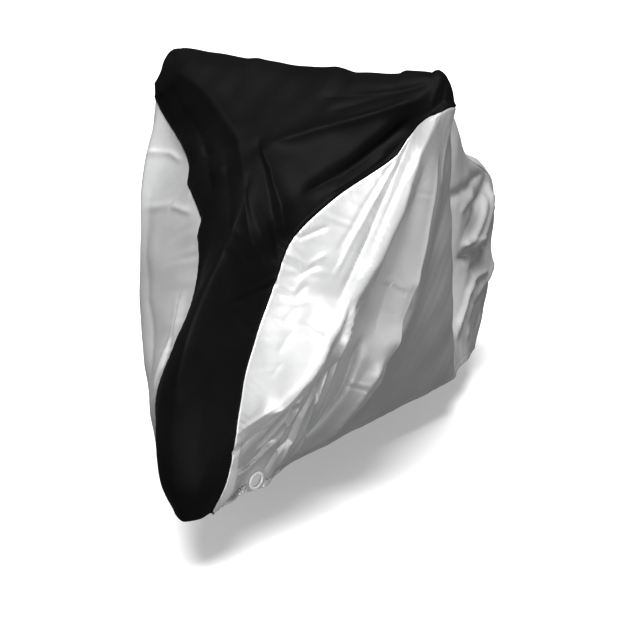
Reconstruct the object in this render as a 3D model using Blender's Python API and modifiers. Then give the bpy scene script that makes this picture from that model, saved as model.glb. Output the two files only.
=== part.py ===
"""Fitted cover for a bicycle, hollow, as it hangs over one that leans on its kickstand.

+X is the way the bicycle points and +Y its left side, in metres. The origin is on the
underside of the cloth at the middle of the handlebar, which holds the cover up.
"""
from collections import namedtuple

import bmesh
import bpy
from mathutils import Vector
import numpy as np

# --- driving sizes, in metres -------------------------------------------------------
CLOTH = 0.002              # thickness of a panel
SEAM_GAP = 0.0008          # between the edges of two panels that are sewn together
LEAN = 0.057               # how far the cover leans to +Y for each metre of height
SLIP = 0.057               # how far the seams stand up to the left again, for each metre out
STEER = 0.064              # turn of the handlebar and front wheel to the left, radians
STEER_AXIS_X = -0.10       # where the steering turns
SLACK_ALONG = 0.9          # how round the cloth runs between the stations, 1 at most
SLACK_ACROSS = 0.75        # and between the points across
HEM_STRIP = 0.050          # height of the front hem strips that hold the eyelets
STRIP_END = 10             # the station where they end
YOKE_END = 13              # the station where the dark centre panel ends
EYELET_X = 0.018           # x of the eyelets over the hem
EYELET_UP = 0.024          # their middle above the hem
EYELET_FACING = (0.32, 0.93, -0.14)    # the way the left one faces, pulled out by a lock
EYELET_BORE = 0.0140       # radii and thickness of an eyelet
EYELET_BARREL = 0.0165
EYELET_FLANGE = 0.0205
EYELET_THICK = 0.0050
EYELET_HOLE = 0.0170       # radius of the hole in the strip
FLAT_IN, FLAT_OUT = 0.028, 0.090   # flat round an eyelet out to the first radius, eased to the second
RIBS_PER_STATION = 3
CENTRE_ROWS, REAR_ROWS = 7, 3     # rows of faces from the crest to the seam
SIDE_ROWS = {1: 14, -1: 10}         # rows from the seam to the strip, on the left and the right
STRIP_ROWS = 4                     # rows over the strip
HOLE_CUT = 0.030           # length of the cutter through the strip
SHARP = 0.7                # radians, edges over this are shaded sharp
MOUNT = np.array([-0.258, 0.047, 1.006])   # underside of the cloth at the handlebar's middle

# The tables below are drawn over the ground: x from the front wheel's axle, y to the left and z
# up from the floor. The crest is the middle line of the top. Shoulder and seam lie beside it: so
# far out, so far down from it, and so far back.
Station = namedtuple("Station", "name crest_x crest_z steer sh_out sh_drop sh_back "
                                "seam_out seam_drop seam_back")
STATIONS = (
    Station("tip",       0.286, 0.150, 1.0, 0.030, -0.004, 0.020, 0.042, -0.004, 0.056),
    Station("toe",       0.334, 0.240, 1.0, 0.038, 0.002, 0.022, 0.072, 0.012, 0.100),
    Station("nose",      0.350, 0.340, 1.0, 0.044, 0.008, 0.026, 0.086, 0.025, 0.112),
    Station("brow",      0.336, 0.440, 1.0, 0.046, 0.014, 0.026, 0.092, 0.040, 0.110),
    Station("crown",     0.286, 0.540, 1.0, 0.040, 0.024, 0.030, 0.086, 0.070, 0.111),
    Station("bow",       0.200, 0.620, 1.0, 0.036, 0.026, 0.022, 0.082, 0.084, 0.093),
    Station("waist",     0.100, 0.704, 1.0, 0.042, 0.030, 0.012, 0.088, 0.100, 0.045),
    Station("bib low",   0.005, 0.790, 1.0, 0.070, 0.032, 0.000, 0.104, 0.104, -0.010),
    Station("bib mid",  -0.088, 0.874, 1.0, 0.145, 0.034, 0.000, 0.165, 0.110, -0.030),
    Station("bib top",  -0.165, 0.944, 1.0, 0.232, 0.020, 0.000, 0.258, 0.100, 0.010),
    Station("bar front", -0.225, 0.996, 1.0, 0.296, -0.004, -0.006, 0.316, 0.074, -0.012),
    Station("bar top",  -0.258, 1.008, 1.0, 0.318, -0.014, -0.004, 0.342, 0.066, -0.020),
    Station("bar back", -0.290, 1.004, 1.0, 0.308, -0.008, 0.004, 0.336, 0.072, -0.004),
    Station("neck",     -0.400, 0.970, 0.6, 0.170, 0.020, 0.000, 0.215, 0.060, 0.000),
    Station("top tube", -0.560, 0.932, 0.2, 0.070, 0.014, 0.000, 0.110, 0.050, 0.000),
    Station("saddle",   -0.740, 0.932, 0.0, 0.062, 0.008, 0.000, 0.096, 0.040, 0.000),
    Station("cantle",   -0.930, 0.918, 0.0, 0.084, 0.012, 0.000, 0.112, 0.050, 0.000),
    Station("rack",     -1.130, 0.745, 0.0, 0.080, 0.012, 0.000, 0.110, 0.040, 0.000),
    Station("tail",     -1.430, 0.632, 0.0, 0.076, 0.012, 0.000, 0.105, 0.050, 0.000),
    Station("rump",     -1.510, 0.450, 0.0, 0.060, 0.000, -0.010, 0.100, 0.000, -0.034),
    Station("rear tip", -1.450, 0.112, 0.0, 0.050, 0.000, -0.010, 0.085, 0.000, -0.034),
)

# Where each side turns down from the front face, where its sections reach the hem, and how far
# they bow out on the way. A row belongs to the station of its name, and the rows between follow.
Side = namedtuple("Side", "station edge_x edge_y edge_z foot bow")
LEFT = (
    Side("tip",       0.215, 0.066, 0.142, 0.200, 0.000),
    Side("toe",       0.200, 0.108, 0.200, 0.165, 0.000),
    Side("nose",      0.190, 0.126, 0.305, 0.130, -0.004),
    Side("brow",      0.125, 0.162, 0.352, 0.095, -0.012),
    Side("crown",     0.060, 0.198, 0.405, 0.060, -0.018),
    Side("bow",       0.000, 0.232, 0.467, 0.020, -0.018),
    Side("waist",    -0.045, 0.258, 0.530, -0.020, -0.010),
    Side("bib low",  -0.080, 0.276, 0.595, -0.055, 0.006),
    Side("bib mid",  -0.115, 0.295, 0.660, -0.090, 0.028),
    Side("bib top",  -0.160, 0.320, 0.745, -0.125, 0.048),
    Side("bar front", -0.262, 0.368, 0.750, -0.165, 0.078),
    Side("bar top",  -0.350, 0.356, 0.740, -0.500, 0.030),
    Side("bar back", -0.440, 0.341, 0.730, -0.905, 0.000),
    Side("neck",     -0.510, 0.230, 0.740, -0.960, -0.050),
    Side("saddle",   -0.780, 0.170, 0.760, -1.080, -0.030),
    Side("cantle",   -0.970, 0.180, 0.740, -1.150, 0.000),
    Side("rack",     -1.130, 0.180, 0.600, -1.220, 0.010),
    Side("tail",     -1.370, 0.160, 0.480, -1.300, 0.015),
    Side("rump",     -1.430, 0.140, 0.350, -1.350, 0.010),
    Side("rear tip", -1.406, 0.100, 0.109, -1.395, 0.000),
)
RIGHT = (
    Side("tip",       0.215, -0.025, 0.142, 0.200, 0.000),
    Side("toe",       0.200, -0.060, 0.200, 0.160, 0.000),
    Side("nose",      0.160, -0.095, 0.240, 0.120, 0.006),
    Side("brow",      0.090, -0.150, 0.290, 0.080, 0.010),
    Side("crown",     0.030, -0.190, 0.320, 0.040, 0.014),
    Side("bow",      -0.030, -0.235, 0.370, 0.000, 0.020),
    Side("waist",    -0.075, -0.266, 0.430, -0.040, 0.020),
    Side("bib low",  -0.100, -0.282, 0.490, -0.080, 0.020),
    Side("bib mid",  -0.112, -0.288, 0.560, -0.120, 0.030),
    Side("bib top",  -0.132, -0.292, 0.660, -0.160, 0.040),
    Side("bar front", -0.170, -0.296, 0.800, -0.220, 0.060),
    Side("bar top",  -0.280, -0.310, 0.780, -0.360, 0.060),
    Side("bar back", -0.370, -0.290, 0.760, -0.500, 0.050),
    Side("neck",     -0.470, -0.215, 0.760, -0.640, 0.020),
    Side("saddle",   -0.770, -0.110, 0.760, -0.940, 0.020),
    Side("cantle",   -0.960, -0.100, 0.740, -1.080, 0.020),
    Side("rack",     -1.130, -0.105, 0.600, -1.190, 0.020),
    Side("tail",     -1.380, -0.110, 0.480, -1.280, 0.020),
    Side("rump",     -1.440, -0.090, 0.350, -1.340, 0.010),
    Side("rear tip", -1.400, -0.080, 0.116, -1.385, 0.000),
)
Hem = namedtuple("Hem", "x y z")
HEM_LEFT = (
    Hem(0.230, 0.064, 0.148), Hem(0.169, 0.040, 0.128), Hem(0.030, 0.056, 0.125),
    Hem(-0.165, 0.068, 0.125), Hem(-0.540, 0.137, 0.126), Hem(-0.905, 0.210, 0.133),
    Hem(-1.000, 0.190, 0.130), Hem(-1.150, 0.170, 0.116), Hem(-1.300, 0.140, 0.104),
    Hem(-1.400, 0.105, 0.104),
)
HEM_RIGHT = (
    Hem(0.230, -0.010, 0.148), Hem(0.169, -0.030, 0.130), Hem(0.030, -0.080, 0.130),
    Hem(-0.200, -0.170, 0.135), Hem(-0.600, -0.230, 0.132), Hem(-1.000, -0.190, 0.125),
    Hem(-1.300, -0.110, 0.115), Hem(-1.400, -0.080, 0.120),
)


# Folds: soft ridges (height above 0) and troughs, drawn on the side view as x, z, on the front view
# as y, z or on the top view as x, y. reach is how far a fold spreads to each side of its line.
Fold = namedtuple("Fold", "view height reach path")
FOLDS = (
    # the left side, from the handlebar's end towards the wheel and the hem
    Fold("left", 0.010, 0.045, ((-0.217, 0.856), (-0.158, 0.757), (-0.102, 0.657), (-0.046, 0.559),
                                (0.019, 0.463), (0.057, 0.418), (0.102, 0.378), (0.156, 0.354),
                                (0.205, 0.342))),
    Fold("left", 0.020, 0.120, ((-0.046, 0.559), (0.000, 0.485), (0.057, 0.418), (0.102, 0.378),
                                (0.160, 0.352))),
    Fold("left", -0.006, 0.030, ((-0.197, 0.836), (-0.149, 0.756), (-0.090, 0.658), (-0.033, 0.560),
                                 (-0.002, 0.518))),
    Fold("left", 0.006, 0.050, ((-0.262, 0.90), (-0.257, 0.80), (-0.250, 0.70), (-0.244, 0.60),
                                (-0.234, 0.52), (-0.222, 0.46), (-0.218, 0.40), (-0.228, 0.33),
                                (-0.234, 0.26), (-0.220, 0.19), (-0.185, 0.13))),
    Fold("left", 0.020, 0.085, ((-0.226, 0.48), (-0.220, 0.40), (-0.230, 0.32), (-0.232, 0.25),
                                (-0.215, 0.17), (-0.180, 0.11))),
    Fold("left", -0.006, 0.040, ((-0.225, 0.84), (-0.185, 0.68), (-0.165, 0.52), (-0.165, 0.44))),
    Fold("left", -0.015, 0.040, ((-0.092, 0.600), (-0.103, 0.546), (-0.111, 0.486), (-0.116, 0.426),
                                 (-0.126, 0.362), (-0.136, 0.299), (-0.138, 0.235), (-0.137, 0.160))),
    Fold("left", 0.011, 0.032, ((-0.024, 0.520), (-0.028, 0.450), (-0.050, 0.380), (-0.078, 0.310),
                                (-0.092, 0.245), (-0.098, 0.160))),
    Fold("left", -0.011, 0.030, ((-0.010, 0.505), (0.004, 0.450), (0.004, 0.400), (-0.005, 0.350),
                                 (-0.030, 0.285), (-0.045, 0.220), (-0.050, 0.160))),
    Fold("left", 0.009, 0.024, ((-0.044, 0.345), (0.000, 0.295), (0.050, 0.262), (0.090, 0.240))),
    Fold("left", -0.009, 0.024, ((0.035, 0.355), (0.070, 0.322), (0.110, 0.298), (0.170, 0.275),
                                 (0.210, 0.265))),
    Fold("left", -0.007, 0.024, ((0.000, 0.250), (0.050, 0.215), (0.100, 0.205), (0.150, 0.215))),
    # the left side, behind the kickstand
    Fold("left", -0.016, 0.060, ((-0.560, 0.90), (-0.700, 0.60), (-0.900, 0.25))),
    Fold("left", 0.014, 0.060, ((-0.800, 0.92), (-0.860, 0.60), (-0.960, 0.20))),
    Fold("left", -0.010, 0.060, ((-0.920, 0.88), (-0.950, 0.60), (-1.040, 0.16))),
    Fold("left", -0.019, 0.065, ((-1.380, 0.60), (-1.240, 0.575), (-1.080, 0.56))),
    Fold("left", 0.016, 0.052, ((-1.400, 0.58), (-1.320, 0.510), (-1.200, 0.465), (-1.080, 0.44))),
    Fold("left", -0.014, 0.052, ((-1.430, 0.45), (-1.280, 0.400), (-1.100, 0.38))),
    Fold("left", 0.015, 0.052, ((-1.420, 0.36), (-1.280, 0.320), (-1.160, 0.27), (-1.120, 0.16))),
    Fold("left", -0.010, 0.046, ((-1.400, 0.24), (-1.300, 0.220), (-1.220, 0.14))),
    # the right side
    Fold("right", 0.013, 0.070, ((-0.290, 0.90), (-0.330, 0.65), (-0.400, 0.40), (-0.440, 0.16))),
    Fold("right", -0.010, 0.060, ((-0.240, 0.84), (-0.260, 0.60), (-0.290, 0.35))),
    Fold("right", 0.010, 0.055, ((-0.180, 0.82), (-0.170, 0.60), (-0.170, 0.36), (-0.150, 0.18))),
    Fold("right", -0.014, 0.060, ((-0.390, 0.86), (-0.520, 0.60), (-0.640, 0.30))),
    Fold("right", 0.014, 0.055, ((-0.520, 0.90), (-0.680, 0.60), (-0.800, 0.20))),
    Fold("right", -0.014, 0.055, ((-0.720, 0.88), (-0.840, 0.55), (-0.940, 0.20))),
    Fold("right", 0.012, 0.045, ((-0.940, 0.88), (-1.020, 0.55), (-1.080, 0.18))),
    Fold("right", -0.012, 0.045, ((-1.120, 0.66), (-1.150, 0.45), (-1.170, 0.20))),
    Fold("right", 0.012, 0.040, ((-1.400, 0.58), (-1.300, 0.42), (-1.260, 0.20))),
    Fold("right", 0.007, 0.030, ((0.020, 0.56), (0.080, 0.48), (0.150, 0.36))),
    # over the handlebar
    Fold("top", 0.009, 0.110, ((-0.250, -0.085), (-0.258, 0.080), (-0.264, 0.165))),
    Fold("top", -0.010, 0.075, ((-0.266, 0.150), (-0.270, 0.220), (-0.276, 0.290))),
    Fold("top", 0.012, 0.034, ((-0.278, 0.350), (-0.279, 0.372), (-0.280, 0.400))),
    Fold("top", -0.020, 0.050, ((-0.200, -0.300), (-0.245, -0.302), (-0.290, -0.304))),
    # the dark panel over the handlebar and down the front wheel
    Fold("front", 0.008, 0.045, ((-0.240, 1.01), (-0.120, 0.955), (-0.010, 0.870))),
    Fold("front", -0.007, 0.040, ((-0.190, 0.93), (-0.110, 0.870), (-0.040, 0.760))),
    Fold("front", 0.010, 0.032, ((0.030, 0.875), (0.079, 0.822), (0.120, 0.758), (0.142, 0.690))),
    Fold("front", -0.007, 0.026, ((0.030, 0.82), (0.060, 0.760), (0.090, 0.700), (0.122, 0.640))),
    Fold("front", 0.009, 0.036, ((0.050, 0.870), (0.209, 0.915), (0.350, 0.970))),
    Fold("front", -0.010, 0.030, ((0.150, 0.775), (0.250, 0.840), (0.335, 0.925))),
    Fold("front", -0.006, 0.026, ((0.120, 0.960), (0.240, 0.972), (0.360, 0.990))),
)


def placed(x, out, z, steer):
    """A point beside the middle plane, after the steering's turn and the lean."""
    ahead = x - STEER_AXIS_X
    turn = STEER * steer
    return np.array([x - out * turn, out + ahead * turn + LEAN * z, z - LEAN * out])


def on_hem(hem, x):
    """The hem's point at this x."""
    table = np.array(hem)[::-1]
    return np.array([x, np.interp(x, table[:, 0], table[:, 1]), np.interp(x, table[:, 0], table[:, 2])])


def side_rows(rows):
    """A side's table with one row for each station, the missing ones between their neighbours."""
    names = [station.name for station in STATIONS]
    known = [names.index(row.station) for row in rows]
    values = np.array([row[1:] for row in rows])
    return np.array([np.interp(range(len(names)), known, column) for column in values.T]).T


def half_section(station, row, hem, sign):
    """Shoulder, seam, edge, middle and foot of one side at a station."""
    edge, foot = row[:3], on_hem(hem, row[3])
    shoulder = placed(station.crest_x - station.sh_back, sign * station.sh_out,
                      station.crest_z - station.sh_drop, station.steer)
    seam = placed(station.crest_x - station.seam_back, sign * station.seam_out,
                  station.crest_z - station.seam_drop + sign * SLIP * station.seam_out, station.steer)
    middle = (edge + foot) / 2 + np.array([0.0, sign * row[4], 0.0])
    return [shoulder, seam, edge, middle, foot]


def all_sections():
    """Eleven points across the cover at each station, from the right hem over the crest."""
    sections = []
    for station, left, right in zip(STATIONS, side_rows(LEFT), side_rows(RIGHT)):
        crest = placed(station.crest_x, 0.0, station.crest_z, station.steer)
        sections.append(half_section(station, right, HEM_RIGHT, -1)[::-1] + [crest]
                        + half_section(station, left, HEM_LEFT, 1))
    return np.array(sections)


def smooth(points, t, slack):
    """Points on centripetal Catmull-Rom curves: points is (curves, count, 3), t is (curves, steps).

    t runs from 0 to count - 1. slack is 1 for a round curve and 0 for straight runs.
    """
    count = points.shape[1]
    low = np.clip(np.floor(t).astype(int), 0, count - 2)
    part = (t - low)[..., None]
    first_end = 2 * points[:, :1] - points[:, 1:2]
    last_end = 2 * points[:, -1:] - points[:, -2:-1]
    padded = np.concatenate([first_end, points, last_end], axis=1)
    before, start, end, after = (np.take_along_axis(padded, (low + step)[..., None], axis=1)
                                 for step in range(4))

    def knot(a, b):
        return np.sqrt(np.maximum(np.linalg.norm(b - a, axis=-1, keepdims=True), 1e-6))

    first, span, last = knot(before, start), knot(start, end), knot(end, after)
    leave = ((start - before) / first - (end - before) / (first + span) + (end - start) / span) * span
    reach = ((end - start) / span - (after - start) / (span + last) + (after - end) / last) * span
    square, cube = part ** 2, part ** 3
    return ((2 * cube - 3 * square + 1) * start + (cube - 2 * square + part) * leave * slack
            + (3 * square - 2 * cube) * end + (cube - square) * reach * slack)


SECTIONS = all_sections()


def plain_cloth(along, across):
    """The cover without its folds. along is (n,), from the front tip; across is (n, m), -5 to 5."""
    steps = np.broadcast_to(along, (SECTIONS.shape[1], len(along)))
    ribs = smooth(SECTIONS.swapaxes(0, 1), steps, SLACK_ALONG).swapaxes(0, 1)
    return smooth(ribs, across + 5, SLACK_ACROSS)


def outward(surface, along, across):
    """A surface's outward direction at each point."""
    step = 0.02
    rearward = surface(along + step, across) - surface(along - step, across)
    leftward = surface(along, across + step) - surface(along, across - step)
    normal = np.cross(leftward, rearward)
    return normal / np.linalg.norm(normal, axis=-1, keepdims=True)


def ramp(value, start, end):
    """0 at start, 1 at end, smooth between."""
    part = np.clip((value - start) / (end - start), 0.0, 1.0)
    return part * part * (3 - 2 * part)


def fold_share(flat, fold):
    """How much of a fold's height each point of a view gets, 1 on the fold's own line."""
    path = np.array(fold.path)
    lengths = np.linalg.norm(np.diff(path, axis=0), axis=1)
    nearest = np.full(flat.shape[:-1], 1e9)
    place = np.zeros(flat.shape[:-1])
    for index, length in enumerate(lengths):
        start, direction = path[index], (path[index + 1] - path[index]) / length
        run = np.clip((flat - start) @ direction, 0.0, length)
        distance = np.linalg.norm(flat - start - run[..., None] * direction, axis=-1)
        closer = distance < nearest
        nearest = np.where(closer, distance, nearest)
        place = np.where(closer, (lengths[:index].sum() + run) / lengths.sum(), place)
    share = np.clip(1 - nearest / fold.reach, 0.0, 1.0) ** 2
    return share * ramp(place, 0.0, 0.15) * ramp(1 - place, 0.0, 0.15)


def cloth(along, across):
    """The cover with its folds, flat round the eyelets."""
    points = plain_cloth(along, across)
    hem_fade = ramp(5.0 - np.abs(across), 0.0, 0.5)
    views = {"left": [0, 2], "right": [0, 2], "front": [1, 2], "top": [0, 1]}
    weights = {"left": ramp(across, 1.2, 1.9) * hem_fade, "right": ramp(-across, 1.2, 1.9) * hem_fade,
               "front": ramp(3.0 - np.abs(across), 0.0, 1.0) * ramp(11.5 - along, 0.0, 1.0)[:, None],
               "top": ramp(2.6 - np.abs(across), 0.0, 0.8)}
    lift = np.zeros(across.shape)
    for fold in FOLDS:
        share = fold_share(points[..., views[fold.view]], fold)
        lift += fold.height * weights[fold.view] * share
    points = points + outward(plain_cloth, along, across) * lift[..., None]
    for sign, (middle, axis) in EYELETS.items():
        away = points - middle
        share = (1 - ramp(np.linalg.norm(away, axis=-1), FLAT_IN, FLAT_OUT)) * (across * sign > 0)
        points = points - ((away @ axis) * share)[..., None] * axis
    return points


def eyelet_seat(sign):
    """Middle and facing direction of an eyelet on its side's front hem."""
    rows = side_rows(LEFT if sign > 0 else RIGHT)
    along = np.array([np.interp(-EYELET_X, -rows[:, 3], np.arange(len(rows)))])
    across = np.linspace(4.0, 5.0, 200)[None] * sign
    rib = plain_cloth(along, across)[0]
    height = np.abs(np.linalg.norm(rib - rib[-1], axis=1) - EYELET_UP)
    best = across[:, [int(np.argmin(height))]]
    facing = np.array([EYELET_FACING[0], sign * EYELET_FACING[1], EYELET_FACING[2]])
    return plain_cloth(along, best)[0, 0], facing / np.linalg.norm(facing)


EYELETS = {sign: eyelet_seat(sign) for sign in (1, -1)}


def clear_scene():
    """Start from an empty file."""
    for old in list(bpy.data.objects):
        bpy.data.objects.remove(old, do_unlink=True)


def finish_of(name, colour, roughness, metallic):
    """A plain Principled material."""
    material = bpy.data.materials.new(name)
    material.use_nodes = True
    shader = material.node_tree.nodes["Principled BSDF"]
    shader.inputs["Base Color"].default_value = (*colour, 1.0)
    shader.inputs["Roughness"].default_value = roughness
    shader.inputs["Metallic"].default_value = metallic
    return material


def add_piece(name, mesh, collection, material):
    """An object of its own in the cover's collection."""
    piece = bpy.data.objects.new(name, mesh)
    mesh.materials.append(material)
    collection.objects.link(piece)
    return piece


def station_steps():
    """Where the ribs of every panel stand, between the stations, from the tip to the rear."""
    counts = {"bar front": 5, "bar top": 6, "bar back": 4, "saddle": 4, "cantle": 5, "rack": 5}
    stops = [0.0]
    for index, station in enumerate(STATIONS[:-1]):
        count = counts.get(station.name, RIBS_PER_STATION)
        stops += [index + (step + 1) / count for step in range(count)]
    return np.array(stops)


RIBS = station_steps()


def by_length(along, start, end, strip, rows_above, rows_below):
    """Places across each rib from start to end, evenly by length, with a row at the strip's top.

    strip is how far the last rows reach from the end, in metres.
    """
    fine = np.broadcast_to(np.linspace(start, end, 161), (len(along), 161))
    points = plain_cloth(along, fine)
    run = np.cumsum(np.linalg.norm(np.diff(points, axis=1), axis=2), axis=1)
    run = np.concatenate([np.zeros((len(along), 1)), run], axis=1)
    places = []
    for rib_run, rib_places in zip(run, fine):
        total = rib_run[-1]
        top = total - min(strip, 0.45 * total)
        stops = np.concatenate([np.linspace(0, top, rows_above + 1),
                                np.linspace(top, total, rows_below + 1)[1:]])
        places.append(np.interp(stops, rib_run, rib_places))
    return np.array(places)


def trimmed(points, first=0.0, last=0.0, head=0.0, tail=0.0):
    """Draw a grid's borders in: across at the first and last row, along at the head and tail."""
    points = points.copy()
    for grid, start, end in ((points.swapaxes(0, 1), first, last), (points, head, tail)):
        for edge, inner, amount in ((0, 1, start), (-1, -2, end)):
            step = grid[inner] - grid[edge]
            grid[edge] += amount * step / np.linalg.norm(step, axis=-1, keepdims=True)
    return points


def sheet_mesh(name, points, normals, keep=None):
    """A sheet of cloth: a grid laid on its inner side and extruded to its outer side.

    Two panels share the normals along their seam, so their edges run side by side there.
    keep(along index, across index) says which of the grid's faces stay.
    """
    along, across = points.shape[0] - 1, points.shape[1] - 1
    sheet = bmesh.new()
    bmesh.ops.create_grid(sheet, x_segments=along, y_segments=across, size=1.0)
    rib, row = (sheet.verts.layers.int.new(label) for label in ("rib", "row"))
    for vert in sheet.verts:
        vert[rib] = round((vert.co.x + 1) / 2 * along)
        vert[row] = round((vert.co.y + 1) / 2 * across)
    if keep:
        gone = [face for face in sheet.faces
                if not keep(min(vert[rib] for vert in face.verts), min(vert[row] for vert in face.verts))]
        bmesh.ops.delete(sheet, geom=gone, context="FACES")
    for vert in sheet.verts:
        vert.co = points[vert[rib], vert[row]] - normals[vert[rib], vert[row]] * CLOTH / 2 - MOUNT
    outer = bmesh.ops.extrude_face_region(sheet, geom=sheet.faces[:], use_keep_orig=True)["geom"]
    for vert in (item for item in outer if isinstance(item, bmesh.types.BMVert)):
        vert.co += Vector(normals[vert[rib], vert[row]] * CLOTH)
    bmesh.ops.recalc_face_normals(sheet, faces=sheet.faces[:])
    mesh = bpy.data.meshes.new(name)
    sheet.to_mesh(mesh)
    sheet.free()
    mesh.shade_smooth()
    mesh.set_sharp_from_angle(angle=SHARP)
    return mesh


def centre_panel(name, ribs, rows, cross_seam, collection, material):
    """A piece of the strip between the two seams. cross_seam is -1 at its front end, 1 at its rear."""
    half = by_length(ribs, 0.0, 2.0, 0.0, rows, 0)
    other = by_length(ribs, 0.0, -2.0, 0.0, rows, 0)
    across = np.concatenate([other[:, :0:-1], half], axis=1)
    gap = SEAM_GAP / 2
    points = trimmed(cloth(ribs, across), first=gap, last=gap,
                     head=gap if cross_seam < 0 else 0.0, tail=gap if cross_seam > 0 else 0.0)
    add_piece(name, sheet_mesh(name, points, outward(cloth, ribs, across)), collection, material)


def side_panel(name, sign, collection, material):
    """One side, from the seam to the hem, without the front hem strip's place."""
    rows = SIDE_ROWS[sign]
    across = by_length(RIBS, 2.0 * sign, 5.0 * sign, HEM_STRIP, rows, STRIP_ROWS)
    strip_ribs = int(np.argmin(np.abs(RIBS - STRIP_END)))
    points = trimmed(cloth(RIBS, across), first=SEAM_GAP / 2)
    mesh = sheet_mesh(name, points, outward(cloth, RIBS, across),
                      lambda rib, row: rib >= strip_ribs or row < rows)
    add_piece(name, mesh, collection, material)


def hem_strip(name, sign, collection, cutters, material):
    """The front of one side's hem, with the eyelet's hole cut through it."""
    ribs, rows = RIBS[RIBS <= STRIP_END], SIDE_ROWS[sign]
    across = by_length(ribs, 2.0 * sign, 5.0 * sign, HEM_STRIP, rows, STRIP_ROWS)[:, rows:]
    points = trimmed(cloth(ribs, across), first=SEAM_GAP, tail=SEAM_GAP)
    mesh = sheet_mesh(name, points, outward(cloth, ribs, across))
    piece = add_piece(name, mesh, collection, material)
    bpy.ops.mesh.primitive_cylinder_add(vertices=32, radius=EYELET_HOLE, depth=HOLE_CUT)
    cutter = bpy.context.object
    cutter.name = name + "_hole"
    for home in list(cutter.users_collection):
        home.objects.unlink(cutter)
    cutters.objects.link(cutter)
    cutter.hide_render = True
    cutter.display_type = "WIRE"
    stand_on(cutter, sign)
    hole = piece.modifiers.new("eyelet hole", "BOOLEAN")
    hole.operation = "DIFFERENCE"
    hole.object = cutter


def stand_on(piece, sign):
    """Put a piece made round Z on an eyelet's place."""
    middle, axis = EYELETS[sign]
    piece.rotation_mode = "QUATERNION"
    piece.rotation_quaternion = Vector(axis).to_track_quat("Z", "Y")
    piece.location = Vector(middle - MOUNT)


def eyelet(name, sign, collection, material):
    """A pressed ring whose two flanges hold the edge of the hole between them."""
    half, slot = EYELET_THICK / 2, CLOTH / 2 + 0.0003
    lip = 0.0008
    profile = [(EYELET_BORE, half - lip), (EYELET_BORE + lip, half), (EYELET_FLANGE - lip, half),
               (EYELET_FLANGE, half - lip), (EYELET_FLANGE, slot), (EYELET_BARREL, slot)]
    profile += [(radius, -height) for radius, height in reversed(profile)]
    mesh = bpy.data.meshes.new(name)
    outline = bmesh.new()
    corners = [outline.verts.new((radius, 0.0, height)) for radius, height in profile]
    for index, corner in enumerate(corners):
        outline.edges.new((corner, corners[(index + 1) % len(corners)]))
    outline.to_mesh(mesh)
    outline.free()
    ring = add_piece(name, mesh, collection, material)
    screw = ring.modifiers.new("turned", "SCREW")
    screw.steps = screw.render_steps = 24
    screw.use_merge_vertices = True
    screw.merge_threshold = 0.00001
    screw.use_smooth_shade = True
    stand_on(ring, sign)


def main():
    clear_scene()
    cover = bpy.data.collections.new("bicycle_cover")
    cutters = bpy.data.collections.new("cutters")
    for collection in (cover, cutters):
        bpy.context.scene.collection.children.link(collection)
    dark = finish_of("dark_cloth", (0.02, 0.02, 0.022), 0.55, 0.0)
    silver = finish_of("silver_cloth", (0.62, 0.63, 0.64), 0.38, 0.35)
    ring = finish_of("eyelet_ring", (0.80, 0.80, 0.80), 0.35, 0.6)
    centre_panel("centre_panel", RIBS[RIBS <= YOKE_END], CENTRE_ROWS, 1, cover, dark)
    centre_panel("rear_panel", RIBS[RIBS >= YOKE_END], REAR_ROWS, -1, cover, silver)
    for label, sign in (("left", 1), ("right", -1)):
        side_panel("side_panel_" + label, sign, cover, silver)
        hem_strip("hem_strip_" + label, sign, cover, cutters, silver)
        eyelet("eyelet_" + label, sign, cover, ring)


if __name__ == "__main__":
    main()
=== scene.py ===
"""Fitted bicycle cover in silver and dark coated cloth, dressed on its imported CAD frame."""
from collections import namedtuple
import math

import bmesh
import bpy
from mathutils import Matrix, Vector
import numpy as np


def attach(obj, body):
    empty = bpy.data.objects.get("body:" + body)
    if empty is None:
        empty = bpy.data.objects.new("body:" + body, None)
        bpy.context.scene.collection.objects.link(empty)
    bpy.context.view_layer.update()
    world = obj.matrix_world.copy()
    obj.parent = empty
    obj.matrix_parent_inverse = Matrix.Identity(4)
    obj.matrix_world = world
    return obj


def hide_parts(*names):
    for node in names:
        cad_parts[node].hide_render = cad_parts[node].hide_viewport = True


bl_info = {
    "name": "Bicycle cover",
    "version": (1, 0, 0),
    "blender": (4, 5, 0),
    "location": "3D View > Sidebar > Bicycle cover",
    "description": "Fitted bicycle cover with sewn panels, folds, hems and eyelets",
    "category": "Add Mesh",
}

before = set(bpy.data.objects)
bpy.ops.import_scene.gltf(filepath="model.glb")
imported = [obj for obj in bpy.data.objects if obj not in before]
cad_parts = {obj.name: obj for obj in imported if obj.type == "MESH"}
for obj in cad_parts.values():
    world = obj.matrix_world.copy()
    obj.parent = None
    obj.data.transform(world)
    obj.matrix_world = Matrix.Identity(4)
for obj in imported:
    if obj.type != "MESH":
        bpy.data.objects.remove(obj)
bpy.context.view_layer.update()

# --- the cover's form, in metres ----------------------------------------------------
LEAN = 0.057               # how far the cover leans to +Y for each metre of height
SLIP = 0.057               # how far the seams stand up to the left again, for each metre out
STEER = 0.064              # turn of the handlebar and front wheel to the left, radians
STEER_AXIS_X = -0.10       # where the steering turns
SLACK_ALONG = 0.9          # how round the cloth runs between the stations, 1 at most
SLACK_ACROSS = 0.75        # and between the points across
HEM_STRIP = 0.050          # height of the front hem strips that hold the eyelets
STRIP_END = 10             # the station where they end
YOKE_END = 13              # the station where the dark centre panel ends
EYELET_X = 0.018           # x of the eyelets over the hem
EYELET_UP = 0.024          # their middle above the hem
EYELET_FACING = (0.32, 0.93, -0.14)    # the way the left one faces, pulled out by a lock
FLAT_IN, FLAT_OUT = 0.028, 0.090   # flat round an eyelet out to the first radius, eased to the second
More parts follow.
